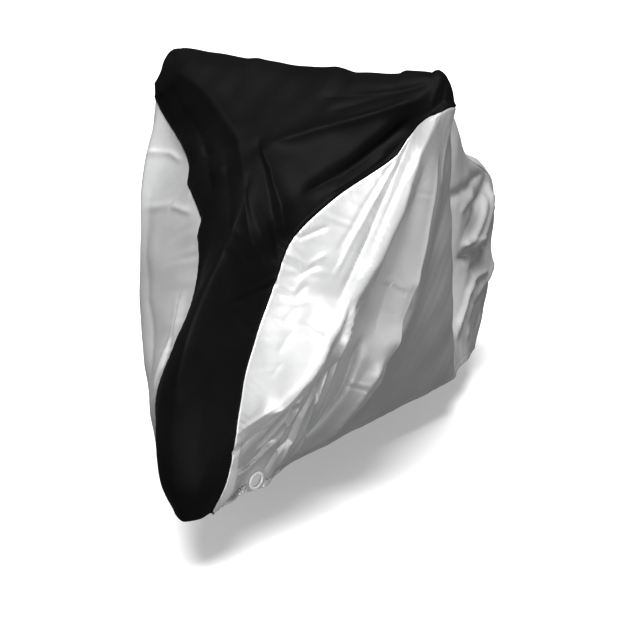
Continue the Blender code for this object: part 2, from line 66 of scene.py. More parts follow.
MOUNT = np.array([-0.258, 0.047, 1.006])   # underside of the cloth at the handlebar's middle
FLOOR = -1.006             # the floor under the covered bicycle

# The tables below are drawn over the ground: x from the front wheel's axle, y to the left and z
# up from the floor. The crest is the middle line of the top. Shoulder and seam lie beside it: so
# far out, so far down from it, and so far back.
Station = namedtuple("Station", "name crest_x crest_z steer sh_out sh_drop sh_back "
                                "seam_out seam_drop seam_back")
STATIONS = (
    Station("tip",       0.286, 0.150, 1.0, 0.030, -0.004, 0.020, 0.042, -0.004, 0.056),
    Station("toe",       0.334, 0.240, 1.0, 0.038, 0.002, 0.022, 0.072, 0.012, 0.100),
    Station("nose",      0.350, 0.340, 1.0, 0.044, 0.008, 0.026, 0.086, 0.025, 0.112),
    Station("brow",      0.336, 0.440, 1.0, 0.046, 0.014, 0.026, 0.092, 0.040, 0.110),
    Station("crown",     0.286, 0.540, 1.0, 0.040, 0.024, 0.030, 0.086, 0.070, 0.111),
    Station("bow",       0.200, 0.620, 1.0, 0.036, 0.026, 0.022, 0.082, 0.084, 0.093),
    Station("waist",     0.100, 0.704, 1.0, 0.042, 0.030, 0.012, 0.088, 0.100, 0.045),
    Station("bib low",   0.005, 0.790, 1.0, 0.070, 0.032, 0.000, 0.104, 0.104, -0.010),
    Station("bib mid",  -0.088, 0.874, 1.0, 0.145, 0.034, 0.000, 0.165, 0.110, -0.030),
    Station("bib top",  -0.165, 0.944, 1.0, 0.232, 0.020, 0.000, 0.258, 0.100, 0.010),
    Station("bar front", -0.225, 0.996, 1.0, 0.296, -0.004, -0.006, 0.316, 0.074, -0.012),
    Station("bar top",  -0.258, 1.008, 1.0, 0.318, -0.014, -0.004, 0.342, 0.066, -0.020),
    Station("bar back", -0.290, 1.004, 1.0, 0.308, -0.008, 0.004, 0.336, 0.072, -0.004),
    Station("neck",     -0.400, 0.970, 0.6, 0.170, 0.020, 0.000, 0.215, 0.060, 0.000),
    Station("top tube", -0.560, 0.932, 0.2, 0.070, 0.014, 0.000, 0.110, 0.050, 0.000),
    Station("saddle",   -0.740, 0.932, 0.0, 0.062, 0.008, 0.000, 0.096, 0.040, 0.000),
    Station("cantle",   -0.930, 0.918, 0.0, 0.084, 0.012, 0.000, 0.112, 0.050, 0.000),
    Station("rack",     -1.130, 0.745, 0.0, 0.080, 0.012, 0.000, 0.110, 0.040, 0.000),
    Station("tail",     -1.430, 0.632, 0.0, 0.076, 0.012, 0.000, 0.105, 0.050, 0.000),
    Station("rump",     -1.510, 0.450, 0.0, 0.060, 0.000, -0.010, 0.100, 0.000, -0.034),
    Station("rear tip", -1.450, 0.112, 0.0, 0.050, 0.000, -0.010, 0.085, 0.000, -0.034),
)

# Where each side turns down from the front face, where its sections reach the hem, and how far
# they bow out on the way. A row belongs to the station of its name, and the rows between follow.
Side = namedtuple("Side", "station edge_x edge_y edge_z foot bow")
LEFT = (
    Side("tip",       0.215, 0.066, 0.142, 0.200, 0.000),
    Side("toe",       0.200, 0.108, 0.200, 0.165, 0.000),
    Side("nose",      0.190, 0.126, 0.305, 0.130, -0.004),
    Side("brow",      0.125, 0.162, 0.352, 0.095, -0.012),
    Side("crown",     0.060, 0.198, 0.405, 0.060, -0.018),
    Side("bow",       0.000, 0.232, 0.467, 0.020, -0.018),
    Side("waist",    -0.045, 0.258, 0.530, -0.020, -0.010),
    Side("bib low",  -0.080, 0.276, 0.595, -0.055, 0.006),
    Side("bib mid",  -0.115, 0.295, 0.660, -0.090, 0.028),
    Side("bib top",  -0.160, 0.320, 0.745, -0.125, 0.048),
    Side("bar front", -0.262, 0.368, 0.750, -0.165, 0.078),
    Side("bar top",  -0.350, 0.356, 0.740, -0.500, 0.030),
    Side("bar back", -0.440, 0.341, 0.730, -0.905, 0.000),
    Side("neck",     -0.510, 0.230, 0.740, -0.960, -0.050),
    Side("saddle",   -0.780, 0.170, 0.760, -1.080, -0.030),
    Side("cantle",   -0.970, 0.180, 0.740, -1.150, 0.000),
    Side("rack",     -1.130, 0.180, 0.600, -1.220, 0.010),
    Side("tail",     -1.370, 0.160, 0.480, -1.300, 0.015),
    Side("rump",     -1.430, 0.140, 0.350, -1.350, 0.010),
    Side("rear tip", -1.406, 0.100, 0.109, -1.395, 0.000),
)
RIGHT = (
    Side("tip",       0.215, -0.025, 0.142, 0.200, 0.000),
    Side("toe",       0.200, -0.060, 0.200, 0.160, 0.000),
    Side("nose",      0.160, -0.095, 0.240, 0.120, 0.006),
    Side("brow",      0.090, -0.150, 0.290, 0.080, 0.010),
    Side("crown",     0.030, -0.190, 0.320, 0.040, 0.014),
    Side("bow",      -0.030, -0.235, 0.370, 0.000, 0.020),
    Side("waist",    -0.075, -0.266, 0.430, -0.040, 0.020),
    Side("bib low",  -0.100, -0.282, 0.490, -0.080, 0.020),
    Side("bib mid",  -0.112, -0.288, 0.560, -0.120, 0.030),
    Side("bib top",  -0.132, -0.292, 0.660, -0.160, 0.040),
    Side("bar front", -0.170, -0.296, 0.800, -0.220, 0.060),
    Side("bar top",  -0.280, -0.310, 0.780, -0.360, 0.060),
    Side("bar back", -0.370, -0.290, 0.760, -0.500, 0.050),
    Side("neck",     -0.470, -0.215, 0.760, -0.640, 0.020),
    Side("saddle",   -0.770, -0.110, 0.760, -0.940, 0.020),
    Side("cantle",   -0.960, -0.100, 0.740, -1.080, 0.020),
    Side("rack",     -1.130, -0.105, 0.600, -1.190, 0.020),
    Side("tail",     -1.380, -0.110, 0.480, -1.280, 0.020),
    Side("rump",     -1.440, -0.090, 0.350, -1.340, 0.010),
    Side("rear tip", -1.400, -0.080, 0.116, -1.385, 0.000),
)
Hem = namedtuple("Hem", "x y z")
HEM_LEFT = (
    Hem(0.230, 0.064, 0.148), Hem(0.169, 0.040, 0.128), Hem(0.030, 0.056, 0.125),
    Hem(-0.165, 0.068, 0.125), Hem(-0.540, 0.137, 0.126), Hem(-0.905, 0.210, 0.133),
    Hem(-1.000, 0.190, 0.130), Hem(-1.150, 0.170, 0.116), Hem(-1.300, 0.140, 0.104),
    Hem(-1.400, 0.105, 0.104),
)
HEM_RIGHT = (
    Hem(0.230, -0.010, 0.148), Hem(0.169, -0.030, 0.130), Hem(0.030, -0.080, 0.130),
    Hem(-0.200, -0.170, 0.135), Hem(-0.600, -0.230, 0.132), Hem(-1.000, -0.190, 0.125),
    Hem(-1.300, -0.110, 0.115), Hem(-1.400, -0.080, 0.120),
)


# Folds: soft ridges (height above 0) and troughs, drawn on the side view as x, z, on the front view
# as y, z or on the top view as x, y. reach is how far a fold spreads to each side of its line.
Fold = namedtuple("Fold", "view height reach path")
FOLDS = (
    # the left side, from the handlebar's end towards the wheel and the hem
    Fold("left", 0.010, 0.045, ((-0.217, 0.856), (-0.158, 0.757), (-0.102, 0.657), (-0.046, 0.559),
        (0.019, 0.463), (0.057, 0.418), (0.102, 0.378), (0.156, 0.354), (0.205, 0.342))),
    Fold("left", 0.020, 0.120, ((-0.046, 0.559), (0.000, 0.485), (0.057, 0.418), (0.102, 0.378),
        (0.160, 0.352))),
    Fold("left", -0.006, 0.030, ((-0.197, 0.836), (-0.149, 0.756), (-0.090, 0.658), (-0.033, 0.560),
        (-0.002, 0.518))),
    Fold("left", 0.006, 0.050, ((-0.262, 0.90), (-0.257, 0.80), (-0.250, 0.70), (-0.244, 0.60),
        (-0.234, 0.52), (-0.222, 0.46), (-0.218, 0.40), (-0.228, 0.33), (-0.234, 0.26), (-0.220, 0.19),
        (-0.185, 0.13))),
    Fold("left", 0.020, 0.085, ((-0.226, 0.48), (-0.220, 0.40), (-0.230, 0.32), (-0.232, 0.25),
        (-0.215, 0.17), (-0.180, 0.11))),
    Fold("left", -0.006, 0.040, ((-0.225, 0.84), (-0.185, 0.68), (-0.165, 0.52), (-0.165, 0.44))),
    Fold("left", -0.015, 0.040, ((-0.092, 0.600), (-0.103, 0.546), (-0.111, 0.486), (-0.116, 0.426),
        (-0.126, 0.362), (-0.136, 0.299), (-0.138, 0.235), (-0.137, 0.160))),
    Fold("left", 0.011, 0.032, ((-0.024, 0.520), (-0.028, 0.450), (-0.050, 0.380), (-0.078, 0.310),
        (-0.092, 0.245), (-0.098, 0.160))),
    Fold("left", -0.011, 0.030, ((-0.010, 0.505), (0.004, 0.450), (0.004, 0.400), (-0.005, 0.350),
        (-0.030, 0.285), (-0.045, 0.220), (-0.050, 0.160))),
    Fold("left", 0.009, 0.024, ((-0.044, 0.345), (0.000, 0.295), (0.050, 0.262), (0.090, 0.240))),
    Fold("left", -0.009, 0.024, ((0.035, 0.355), (0.070, 0.322), (0.110, 0.298), (0.170, 0.275),
        (0.210, 0.265))),
    Fold("left", -0.007, 0.024, ((0.000, 0.250), (0.050, 0.215), (0.100, 0.205), (0.150, 0.215))),
    # the left side, behind the kickstand
    Fold("left", -0.016, 0.060, ((-0.560, 0.90), (-0.700, 0.60), (-0.900, 0.25))),
    Fold("left", 0.014, 0.060, ((-0.800, 0.92), (-0.860, 0.60), (-0.960, 0.20))),
    Fold("left", -0.010, 0.060, ((-0.920, 0.88), (-0.950, 0.60), (-1.040, 0.16))),
    Fold("left", -0.019, 0.065, ((-1.380, 0.60), (-1.240, 0.575), (-1.080, 0.56))),
    Fold("left", 0.016, 0.052, ((-1.400, 0.58), (-1.320, 0.510), (-1.200, 0.465), (-1.080, 0.44))),
    Fold("left", -0.014, 0.052, ((-1.430, 0.45), (-1.280, 0.400), (-1.100, 0.38))),
    Fold("left", 0.015, 0.052, ((-1.420, 0.36), (-1.280, 0.320), (-1.160, 0.27), (-1.120, 0.16))),
    Fold("left", -0.010, 0.046, ((-1.400, 0.24), (-1.300, 0.220), (-1.220, 0.14))),
    # the right side
    Fold("right", 0.013, 0.070, ((-0.290, 0.90), (-0.330, 0.65), (-0.400, 0.40), (-0.440, 0.16))),
    Fold("right", -0.010, 0.060, ((-0.240, 0.84), (-0.260, 0.60), (-0.290, 0.35))),
    Fold("right", 0.010, 0.055, ((-0.180, 0.82), (-0.170, 0.60), (-0.170, 0.36), (-0.150, 0.18))),
    Fold("right", -0.014, 0.060, ((-0.390, 0.86), (-0.520, 0.60), (-0.640, 0.30))),
    Fold("right", 0.014, 0.055, ((-0.520, 0.90), (-0.680, 0.60), (-0.800, 0.20))),
    Fold("right", -0.014, 0.055, ((-0.720, 0.88), (-0.840, 0.55), (-0.940, 0.20))),
    Fold("right", 0.012, 0.045, ((-0.940, 0.88), (-1.020, 0.55), (-1.080, 0.18))),
    Fold("right", -0.012, 0.045, ((-1.120, 0.66), (-1.150, 0.45), (-1.170, 0.20))),
    Fold("right", 0.012, 0.040, ((-1.400, 0.58), (-1.300, 0.42), (-1.260, 0.20))),
    Fold("right", 0.007, 0.030, ((0.020, 0.56), (0.080, 0.48), (0.150, 0.36))),
    # over the handlebar
    Fold("top", 0.009, 0.110, ((-0.250, -0.085), (-0.258, 0.080), (-0.264, 0.165))),
    Fold("top", -0.010, 0.075, ((-0.266, 0.150), (-0.270, 0.220), (-0.276, 0.290))),
    Fold("top", 0.012, 0.034, ((-0.278, 0.350), (-0.279, 0.372), (-0.280, 0.400))),
    Fold("top", -0.020, 0.050, ((-0.200, -0.300), (-0.245, -0.302), (-0.290, -0.304))),
    # the dark panel over the handlebar and down the front wheel
    Fold("front", 0.008, 0.045, ((-0.240, 1.01), (-0.120, 0.955), (-0.010, 0.870))),
    Fold("front", -0.007, 0.040, ((-0.190, 0.93), (-0.110, 0.870), (-0.040, 0.760))),
    Fold("front", 0.010, 0.032, ((0.030, 0.875), (0.079, 0.822), (0.120, 0.758), (0.142, 0.690))),
    Fold("front", -0.007, 0.026, ((0.030, 0.82), (0.060, 0.760), (0.090, 0.700), (0.122, 0.640))),
    Fold("front", 0.009, 0.036, ((0.050, 0.870), (0.209, 0.915), (0.350, 0.970))),
    Fold("front", -0.010, 0.030, ((0.150, 0.775), (0.250, 0.840), (0.335, 0.925))),
    Fold("front", -0.006, 0.026, ((0.120, 0.960), (0.240, 0.972), (0.360, 0.990))),
)


def placed(x, out, z, steer):
    """A point beside the middle plane, after the steering's turn and the lean."""
    ahead = x - STEER_AXIS_X
    turn = STEER * steer
    return np.array([x - out * turn, out + ahead * turn + LEAN * z, z - LEAN * out])


def on_hem(hem, x):
    """The hem's point at this x."""
    table = np.array(hem)[::-1]
    return np.array([x, np.interp(x, table[:, 0], table[:, 1]), np.interp(x, table[:, 0], table[:, 2])])


def side_rows(rows):
    """A side's table with one row for each station, the missing ones between their neighbours."""
    names = [station.name for station in STATIONS]
    known = [names.index(row.station) for row in rows]
    values = np.array([row[1:] for row in rows])
    return np.array([np.interp(range(len(names)), known, column) for column in values.T]).T


def half_section(station, row, hem, sign):
    """Shoulder, seam, edge, middle and foot of one side at a station."""
    edge, foot = row[:3], on_hem(hem, row[3])
    shoulder = placed(station.crest_x - station.sh_back, sign * station.sh_out,
                      station.crest_z - station.sh_drop, station.steer)
    seam = placed(station.crest_x - station.seam_back, sign * station.seam_out,
                  station.crest_z - station.seam_drop + sign * SLIP * station.seam_out, station.steer)
    middle = (edge + foot) / 2 + np.array([0.0, sign * row[4], 0.0])
    return [shoulder, seam, edge, middle, foot]


def all_sections():
    """Eleven points across the cover at each station, from the right hem over the crest."""
    sections = []
    for station, left, right in zip(STATIONS, side_rows(LEFT), side_rows(RIGHT)):
        crest = placed(station.crest_x, 0.0, station.crest_z, station.steer)
        sections.append(half_section(station, right, HEM_RIGHT, -1)[::-1] + [crest]
                        + half_section(station, left, HEM_LEFT, 1))
    return np.array(sections)


def smooth(points, t, slack):
    """Points on centripetal Catmull-Rom curves: points is (curves, count, 3), t is (curves, steps).

    t runs from 0 to count - 1. slack is 1 for a round curve and 0 for straight runs.
    """
    count = points.shape[1]
    low = np.clip(np.floor(t).astype(int), 0, count - 2)
    part = (t - low)[..., None]
    first_end = 2 * points[:, :1] - points[:, 1:2]
    last_end = 2 * points[:, -1:] - points[:, -2:-1]
    padded = np.concatenate([first_end, points, last_end], axis=1)
    before, start, end, after = (np.take_along_axis(padded, (low + step)[..., None], axis=1)
                                 for step in range(4))

    def knot(a, b):
        return np.sqrt(np.maximum(np.linalg.norm(b - a, axis=-1, keepdims=True), 1e-6))

    first, span, last = knot(before, start), knot(start, end), knot(end, after)
    leave = ((start - before) / first - (end - before) / (first + span) + (end - start) / span) * span
    reach = ((end - start) / span - (after - start) / (span + last) + (after - end) / last) * span
    square, cube = part ** 2, part ** 3
    return ((2 * cube - 3 * square + 1) * start + (cube - 2 * square + part) * leave * slack
            + (3 * square - 2 * cube) * end + (cube - square) * reach * slack)


SECTIONS = all_sections()


def plain_cloth(along, across):
    """The cover without its folds. along is (n,), from the front tip; across is (n, m), -5 to 5."""
    steps = np.broadcast_to(along, (SECTIONS.shape[1], len(along)))
    ribs = smooth(SECTIONS.swapaxes(0, 1), steps, SLACK_ALONG).swapaxes(0, 1)
    return smooth(ribs, across + 5, SLACK_ACROSS)


def outward(surface, along, across):
    """A surface's outward direction at each point."""
    step = 0.02
    rearward = surface(along + step, across) - surface(along - step, across)
    leftward = surface(along, across + step) - surface(along, across - step)
    normal = np.cross(leftward, rearward)
    return normal / np.linalg.norm(normal, axis=-1, keepdims=True)


def ramp(value, start, end):
    """0 at start, 1 at end, smooth between."""
    part = np.clip((value - start) / (end - start), 0.0, 1.0)
    return part * part * (3 - 2 * part)


def fold_share(flat, fold):
    """How much of a fold's height each point of a view gets, 1 on the fold's own line."""
    path = np.array(fold.path)
    lengths = np.linalg.norm(np.diff(path, axis=0), axis=1)
    nearest = np.full(flat.shape[:-1], 1e9)
    place = np.zeros(flat.shape[:-1])
    for index, length in enumerate(lengths):
        start, direction = path[index], (path[index + 1] - path[index]) / length
        run = np.clip((flat - start) @ direction, 0.0, length)
        distance = np.linalg.norm(flat - start - run[..., None] * direction, axis=-1)
        closer = distance < nearest
        nearest = np.where(closer, distance, nearest)
        place = np.where(closer, (lengths[:index].sum() + run) / lengths.sum(), place)
    share = np.clip(1 - nearest / fold.reach, 0.0, 1.0) ** 2
    return share * ramp(place, 0.0, 0.15) * ramp(1 - place, 0.0, 0.15)


def cloth(along, across):
    """The cover with its folds, flat round the eyelets."""
    points = plain_cloth(along, across)
    hem_fade = ramp(5.0 - np.abs(across), 0.0, 0.5)
    views = {"left": [0, 2], "right": [0, 2], "front": [1, 2], "top": [0, 1]}
    weights = {"left": ramp(across, 1.2, 1.9) * hem_fade, "right": ramp(-across, 1.2, 1.9) * hem_fade,
               "front": ramp(3.0 - np.abs(across), 0.0, 1.0) * ramp(11.5 - along, 0.0, 1.0)[:, None],
               "top": ramp(2.6 - np.abs(across), 0.0, 0.8)}
    lift = np.zeros(across.shape)
    for fold in FOLDS:
        share = fold_share(points[..., views[fold.view]], fold)
        lift += fold.height * weights[fold.view] * share
    points = points + outward(plain_cloth, along, across) * lift[..., None]
    for sign, (middle, axis) in EYELETS.items():
        away = points - middle
        share = (1 - ramp(np.linalg.norm(away, axis=-1), FLAT_IN, FLAT_OUT)) * (across * sign > 0)
        points = points - ((away @ axis) * share)[..., None] * axis
    return points


def eyelet_seat(sign):
    """Middle and facing direction of an eyelet on its side's front hem."""
    rows = side_rows(LEFT if sign > 0 else RIGHT)
    along = np.array([np.interp(-EYELET_X, -rows[:, 3], np.arange(len(rows)))])
    across = np.linspace(4.0, 5.0, 200)[None] * sign
    rib = plain_cloth(along, across)[0]
    height = np.abs(np.linalg.norm(rib - rib[-1], axis=1) - EYELET_UP)
    best = across[:, [int(np.argmin(height))]]
    facing = np.array([EYELET_FACING[0], sign * EYELET_FACING[1], EYELET_FACING[2]])
    return plain_cloth(along, best)[0, 0], facing / np.linalg.norm(facing)


EYELETS = {sign: eyelet_seat(sign) for sign in (1, -1)}

# --- finer folds and creases, drawn like the folds above, or on a view that looks between front
# and left --------------------------------------------------------------------------------
CREASES = (
    # left: the thin folds beside the long bright one, and the fan below them
    Fold("slant", 0.003, 0.014, ((0.446, 0.990), (0.427, 0.929), (0.407, 0.881), (0.381, 0.825),
        (0.343, 0.777), (0.307, 0.727), (0.284, 0.678), (0.265, 0.627), (0.235, 0.578), (0.197, 0.535),
        (0.160, 0.495), (0.146, 0.473), (0.116, 0.435), (0.088, 0.406), (0.050, 0.385),
        (-0.001, 0.358), (-0.062, 0.337), (-0.120, 0.322))),
    Fold("slant", 0.010, 0.034, ((0.440, 0.980), (0.424, 0.915), (0.401, 0.857), (0.378, 0.815),
        (0.342, 0.753), (0.305, 0.690), (0.268, 0.630), (0.235, 0.590))),
    Fold("slant", -0.011, 0.019, ((0.418, 0.985), (0.393, 0.906), (0.369, 0.854), (0.345, 0.812),
        (0.300, 0.746), (0.258, 0.670), (0.221, 0.606), (0.187, 0.550))),
    Fold("slant", 0.0035, 0.010, ((0.372, 0.890), (0.350, 0.832), (0.318, 0.793), (0.275, 0.743),
        (0.233, 0.685), (0.203, 0.638), (0.170, 0.590))),
    Fold("slant", -0.0020, 0.010, ((0.345, 0.850), (0.336, 0.826), (0.301, 0.790), (0.258, 0.742),
        (0.217, 0.688), (0.190, 0.650))),
    Fold("left", 0.013, 0.080, ((-0.275, 1.040), (-0.250, 0.950), (-0.227, 0.876), (-0.202, 0.820),
        (-0.162, 0.760), (-0.128, 0.697), (-0.100, 0.636), (-0.061, 0.578), (-0.030, 0.540))),
    Fold("left", 0.004, 0.014, ((-0.262, 0.870), (-0.257, 0.800), (-0.250, 0.700), (-0.244, 0.600),
        (-0.234, 0.520), (-0.222, 0.460), (-0.218, 0.400), (-0.228, 0.330), (-0.234, 0.260),
        (-0.220, 0.190))),
    Fold("left", 0.003, 0.014, ((-0.281, 0.915), (-0.290, 0.830), (-0.296, 0.760))),
    Fold("left", -0.014, 0.060, ((-0.262, 0.560), (-0.240, 0.440), (-0.232, 0.340))),
    Fold("left", -0.010, 0.050, ((-0.280, 0.510), (-0.238, 0.430), (-0.228, 0.380), (-0.238, 0.320))),
    Fold("left", -0.004, 0.050, ((-0.262, 0.900), (-0.257, 0.800), (-0.250, 0.700), (-0.244, 0.600),
        (-0.236, 0.540))),
    # left: the streaks that fan out from the long fold to the eyelet and the hem
    Fold("slant", -0.006, 0.016, ((-0.110, 0.290), (-0.064, 0.296), (-0.025, 0.299), (0.005, 0.311),
        (0.048, 0.357), (0.087, 0.386), (0.110, 0.415))),
    Fold("slant", 0.008, 0.014, ((-0.050, 0.195), (-0.001, 0.203), (0.032, 0.213), (0.067, 0.235),
        (0.112, 0.265), (0.127, 0.303), (0.132, 0.330))),
    Fold("slant", -0.007, 0.014, ((0.040, 0.150), (0.061, 0.169), (0.120, 0.218), (0.137, 0.277),
        (0.155, 0.326), (0.168, 0.391), (0.178, 0.473), (0.201, 0.528), (0.225, 0.570))),
    Fold("slant", 0.008, 0.011, ((0.080, 0.130), (0.098, 0.152), (0.131, 0.215), (0.150, 0.274),
        (0.171, 0.326), (0.186, 0.382), (0.192, 0.450), (0.205, 0.501), (0.229, 0.558),
        (0.250, 0.600))),
    Fold("slant", -0.004, 0.008, ((0.105, 0.160), (0.117, 0.179), (0.137, 0.238), (0.154, 0.295),
        (0.166, 0.331), (0.172, 0.360))),
    Fold("slant", 0.009, 0.014, ((0.135, 0.135), (0.145, 0.157), (0.175, 0.221), (0.190, 0.280),
        (0.200, 0.340), (0.208, 0.389), (0.215, 0.440), (0.222, 0.492))),
    Fold("slant", -0.012, 0.024, ((0.165, 0.110), (0.172, 0.132), (0.190, 0.191), (0.216, 0.239),
        (0.245, 0.303), (0.258, 0.357), (0.268, 0.420), (0.275, 0.460))),
    Fold("slant", 0.015, 0.036, ((0.180, 0.105), (0.205, 0.128), (0.245, 0.170), (0.277, 0.242),
        (0.309, 0.316), (0.328, 0.358), (0.335, 0.400))),
    Fold("slant", -0.002, 0.008, ((0.289, 0.150), (0.381, 0.152), (0.471, 0.155), (0.553, 0.164))),
    # left: short creases left by the packing
    Fold("slant", -0.0020, 0.006, ((0.352, 0.789), (0.378, 0.770), (0.410, 0.761), (0.446, 0.750))),
    Fold("slant", 0.0016, 0.006, ((0.366, 0.768), (0.388, 0.757), (0.432, 0.745))),
    Fold("slant", -0.0010, 0.006, ((0.386, 0.800), (0.402, 0.784), (0.424, 0.792))),
    Fold("slant", -0.0024, 0.006, ((0.300, 0.571), (0.342, 0.558), (0.367, 0.544), (0.388, 0.538),
        (0.404, 0.550))),
    Fold("slant", 0.0026, 0.007, ((0.320, 0.577), (0.348, 0.569), (0.374, 0.553))),
    Fold("slant", -0.0014, 0.007, ((0.316, 0.584), (0.334, 0.592), (0.356, 0.578), (0.372, 0.560))),
    Fold("slant", -0.0012, 0.009, ((0.318, 0.512), (0.346, 0.497), (0.374, 0.502))),
    Fold("slant", -0.0022, 0.006, ((0.250, 0.330), (0.288, 0.320), (0.325, 0.318))),
    Fold("slant", 0.0022, 0.006, ((0.256, 0.339), (0.286, 0.329), (0.316, 0.329))),
    Fold("left", -0.0016, 0.009, ((0.046, 0.528), (0.030, 0.495), (0.021, 0.464))),
    # left: slack beside the seam over the wheel
    Fold("left", -0.0026, 0.011, ((0.030, 0.716), (-0.004, 0.691), (-0.050, 0.714))),
    Fold("left", -0.0030, 0.012, ((0.034, 0.652), (0.008, 0.619), (-0.022, 0.640))),
    Fold("left", 0.0024, 0.011, ((0.026, 0.668), (-0.002, 0.634), (-0.034, 0.658))),
    Fold("left", -0.0018, 0.010, ((0.064, 0.598), (0.036, 0.568), (0.002, 0.600))),
    Fold("left", 0.0012, 0.010, ((0.055, 0.612), (0.028, 0.583), (0.000, 0.620))),
    Fold("left", -0.0014, 0.011, ((0.098, 0.550), (0.067, 0.528), (0.035, 0.556))),
    Fold("left", -0.0016, 0.012, ((0.136, 0.500), (0.104, 0.474), (0.060, 0.512))),
    Fold("left", -0.0012, 0.010, ((0.170, 0.450), (0.139, 0.432), (0.105, 0.458))),
    # right: two soft creases and a fold by the wheel
    Fold("right", -0.004, 0.014, ((-0.170, 0.824), (-0.130, 0.815), (-0.090, 0.832))),
    Fold("right", -0.004, 0.016, ((-0.140, 0.694), (-0.080, 0.720), (-0.010, 0.722))),
    Fold("right", 0.005, 0.018, ((0.020, 0.560), (0.060, 0.500), (0.110, 0.455), (0.150, 0.410))),
    Fold("right", 0.004, 0.030, ((-0.180, 0.880), (-0.136, 0.716), (-0.067, 0.500), (0.067, 0.330))),
    # dark panel: the leaf below the bar, its neighbours and the wrinkles over the wheel
    Fold("front", 0.0042, 0.023, ((-0.040, 0.898), (-0.024, 0.875), (0.021, 0.820), (0.066, 0.757),
        (0.102, 0.702), (0.130, 0.652))),
    Fold("front", -0.0080, 0.030, ((0.020, 0.888), (0.034, 0.866), (0.070, 0.823), (0.096, 0.777),
        (0.117, 0.730), (0.126, 0.690), (0.134, 0.640))),
    Fold("front", -0.0080, 0.036, ((-0.310, 1.065), (-0.262, 1.036), (-0.230, 1.036))),
    Fold("front", 0.0060, 0.030, ((-0.310, 0.995), (-0.277, 0.965), (-0.255, 0.945))),
    Fold("front", -0.0042, 0.034, ((-0.055, 0.862), (-0.010, 0.800), (0.030, 0.740), (0.060, 0.690))),
    Fold("front", 0.0036, 0.021, ((0.045, 0.872), (0.099, 0.882), (0.155, 0.901), (0.212, 0.918),
        (0.278, 0.940), (0.325, 0.957), (0.362, 0.974))),
    Fold("front", -0.0036, 0.016, ((0.190, 0.922), (0.258, 0.944), (0.306, 0.960), (0.350, 0.974))),
    Fold("front", -0.0042, 0.021, ((0.150, 0.932), (0.210, 0.950), (0.269, 0.968), (0.330, 0.986),
        (0.372, 1.000))),
    Fold("front", -0.0054, 0.028, ((0.200, 0.795), (0.234, 0.829), (0.265, 0.862), (0.305, 0.899),
        (0.350, 0.940))),
    Fold("front", 0.0036, 0.014, ((0.205, 0.778), (0.235, 0.802), (0.257, 0.820), (0.288, 0.850))),
    Fold("front", 0.0054, 0.046, ((-0.236, 1.030), (-0.183, 1.002), (-0.131, 0.959), (-0.080, 0.919),
        (-0.014, 0.873), (0.030, 0.850))),
    Fold("front", -0.0048, 0.057, ((-0.240, 0.970), (-0.190, 0.920), (-0.140, 0.860))),
    Fold("front", -0.0048, 0.028, ((-0.140, 0.812), (-0.094, 0.837), (-0.052, 0.855), (-0.012, 0.868))),
    Fold("front", 0.0036, 0.028, ((-0.120, 0.760), (-0.070, 0.800), (-0.020, 0.830))),
    Fold("front", -0.0042, 0.021, ((0.045, 0.730), (0.084, 0.694), (0.108, 0.666), (0.136, 0.636))),
    Fold("front", 0.0036, 0.023, ((0.030, 0.700), (0.067, 0.671), (0.099, 0.635), (0.120, 0.610))),
    Fold("front", -0.0042, 0.015, ((0.085, 0.584), (0.105, 0.589), (0.118, 0.596), (0.140, 0.604))),
    Fold("front", 0.0030, 0.014, ((0.090, 0.598), (0.110, 0.604), (0.136, 0.618))),
    Fold("front", 0.0030, 0.034, ((0.035, 0.660), (0.050, 0.600), (0.055, 0.520), (0.050, 0.440))),
    Fold("front", 0.0036, 0.014, ((0.374, 1.012), (0.370, 0.984), (0.365, 0.960), (0.363, 0.930))),
    Fold("front", -0.0036, 0.014, ((0.384, 1.006), (0.384, 0.980), (0.382, 0.950))),
    # left side behind the kickstand: the fan over the rear wheel
    Fold("left", -0.012, 0.036, ((-1.330, 0.626), (-1.227, 0.630), (-1.143, 0.632), (-1.011, 0.622),
        (-0.900, 0.600))),
    Fold("left", 0.006, 0.020, ((-1.140, 0.606), (-1.064, 0.590), (-1.010, 0.562))),
    Fold("left", -0.005, 0.014, ((-1.320, 0.602), (-1.200, 0.565), (-1.100, 0.530), (-1.040, 0.502))),
    Fold("left", 0.014, 0.034, ((-1.320, 0.566), (-1.286, 0.545), (-1.190, 0.505), (-1.119, 0.478),
        (-1.030, 0.465))),
    Fold("left", 0.006, 0.012, ((-1.220, 0.458), (-1.183, 0.461), (-1.102, 0.466), (-1.040, 0.466))),
    Fold("left", -0.013, 0.032, ((-1.329, 0.405), (-1.148, 0.425), (-1.020, 0.435))),
    Fold("left", 0.013, 0.028, ((-1.300, 0.345), (-1.220, 0.352), (-1.159, 0.352), (-1.105, 0.320),
        (-1.091, 0.282), (-1.061, 0.245), (-1.050, 0.190))),
    Fold("left", -0.012, 0.034, ((-1.360, 0.290), (-1.270, 0.300), (-1.170, 0.270), (-1.130, 0.190))),
)

# Slow unevenness of the cloth: waves across the surface, each with its direction, length and height.
Wave = namedtuple("Wave", "x y z length start height")
WAVES = (
    Wave(0.80, 0.10, 0.59, 0.171, 0.3, 0.0010), Wave(0.35, -0.80, 0.48, 0.123, 1.9, 0.0008),
    Wave(-0.55, 0.45, 0.70, 0.087, 4.1, 0.0006), Wave(0.10, 0.90, -0.42, 0.064, 2.6, 0.0004),
    Wave(0.92, -0.30, 0.25, 0.049, 5.2, 0.0003),
)

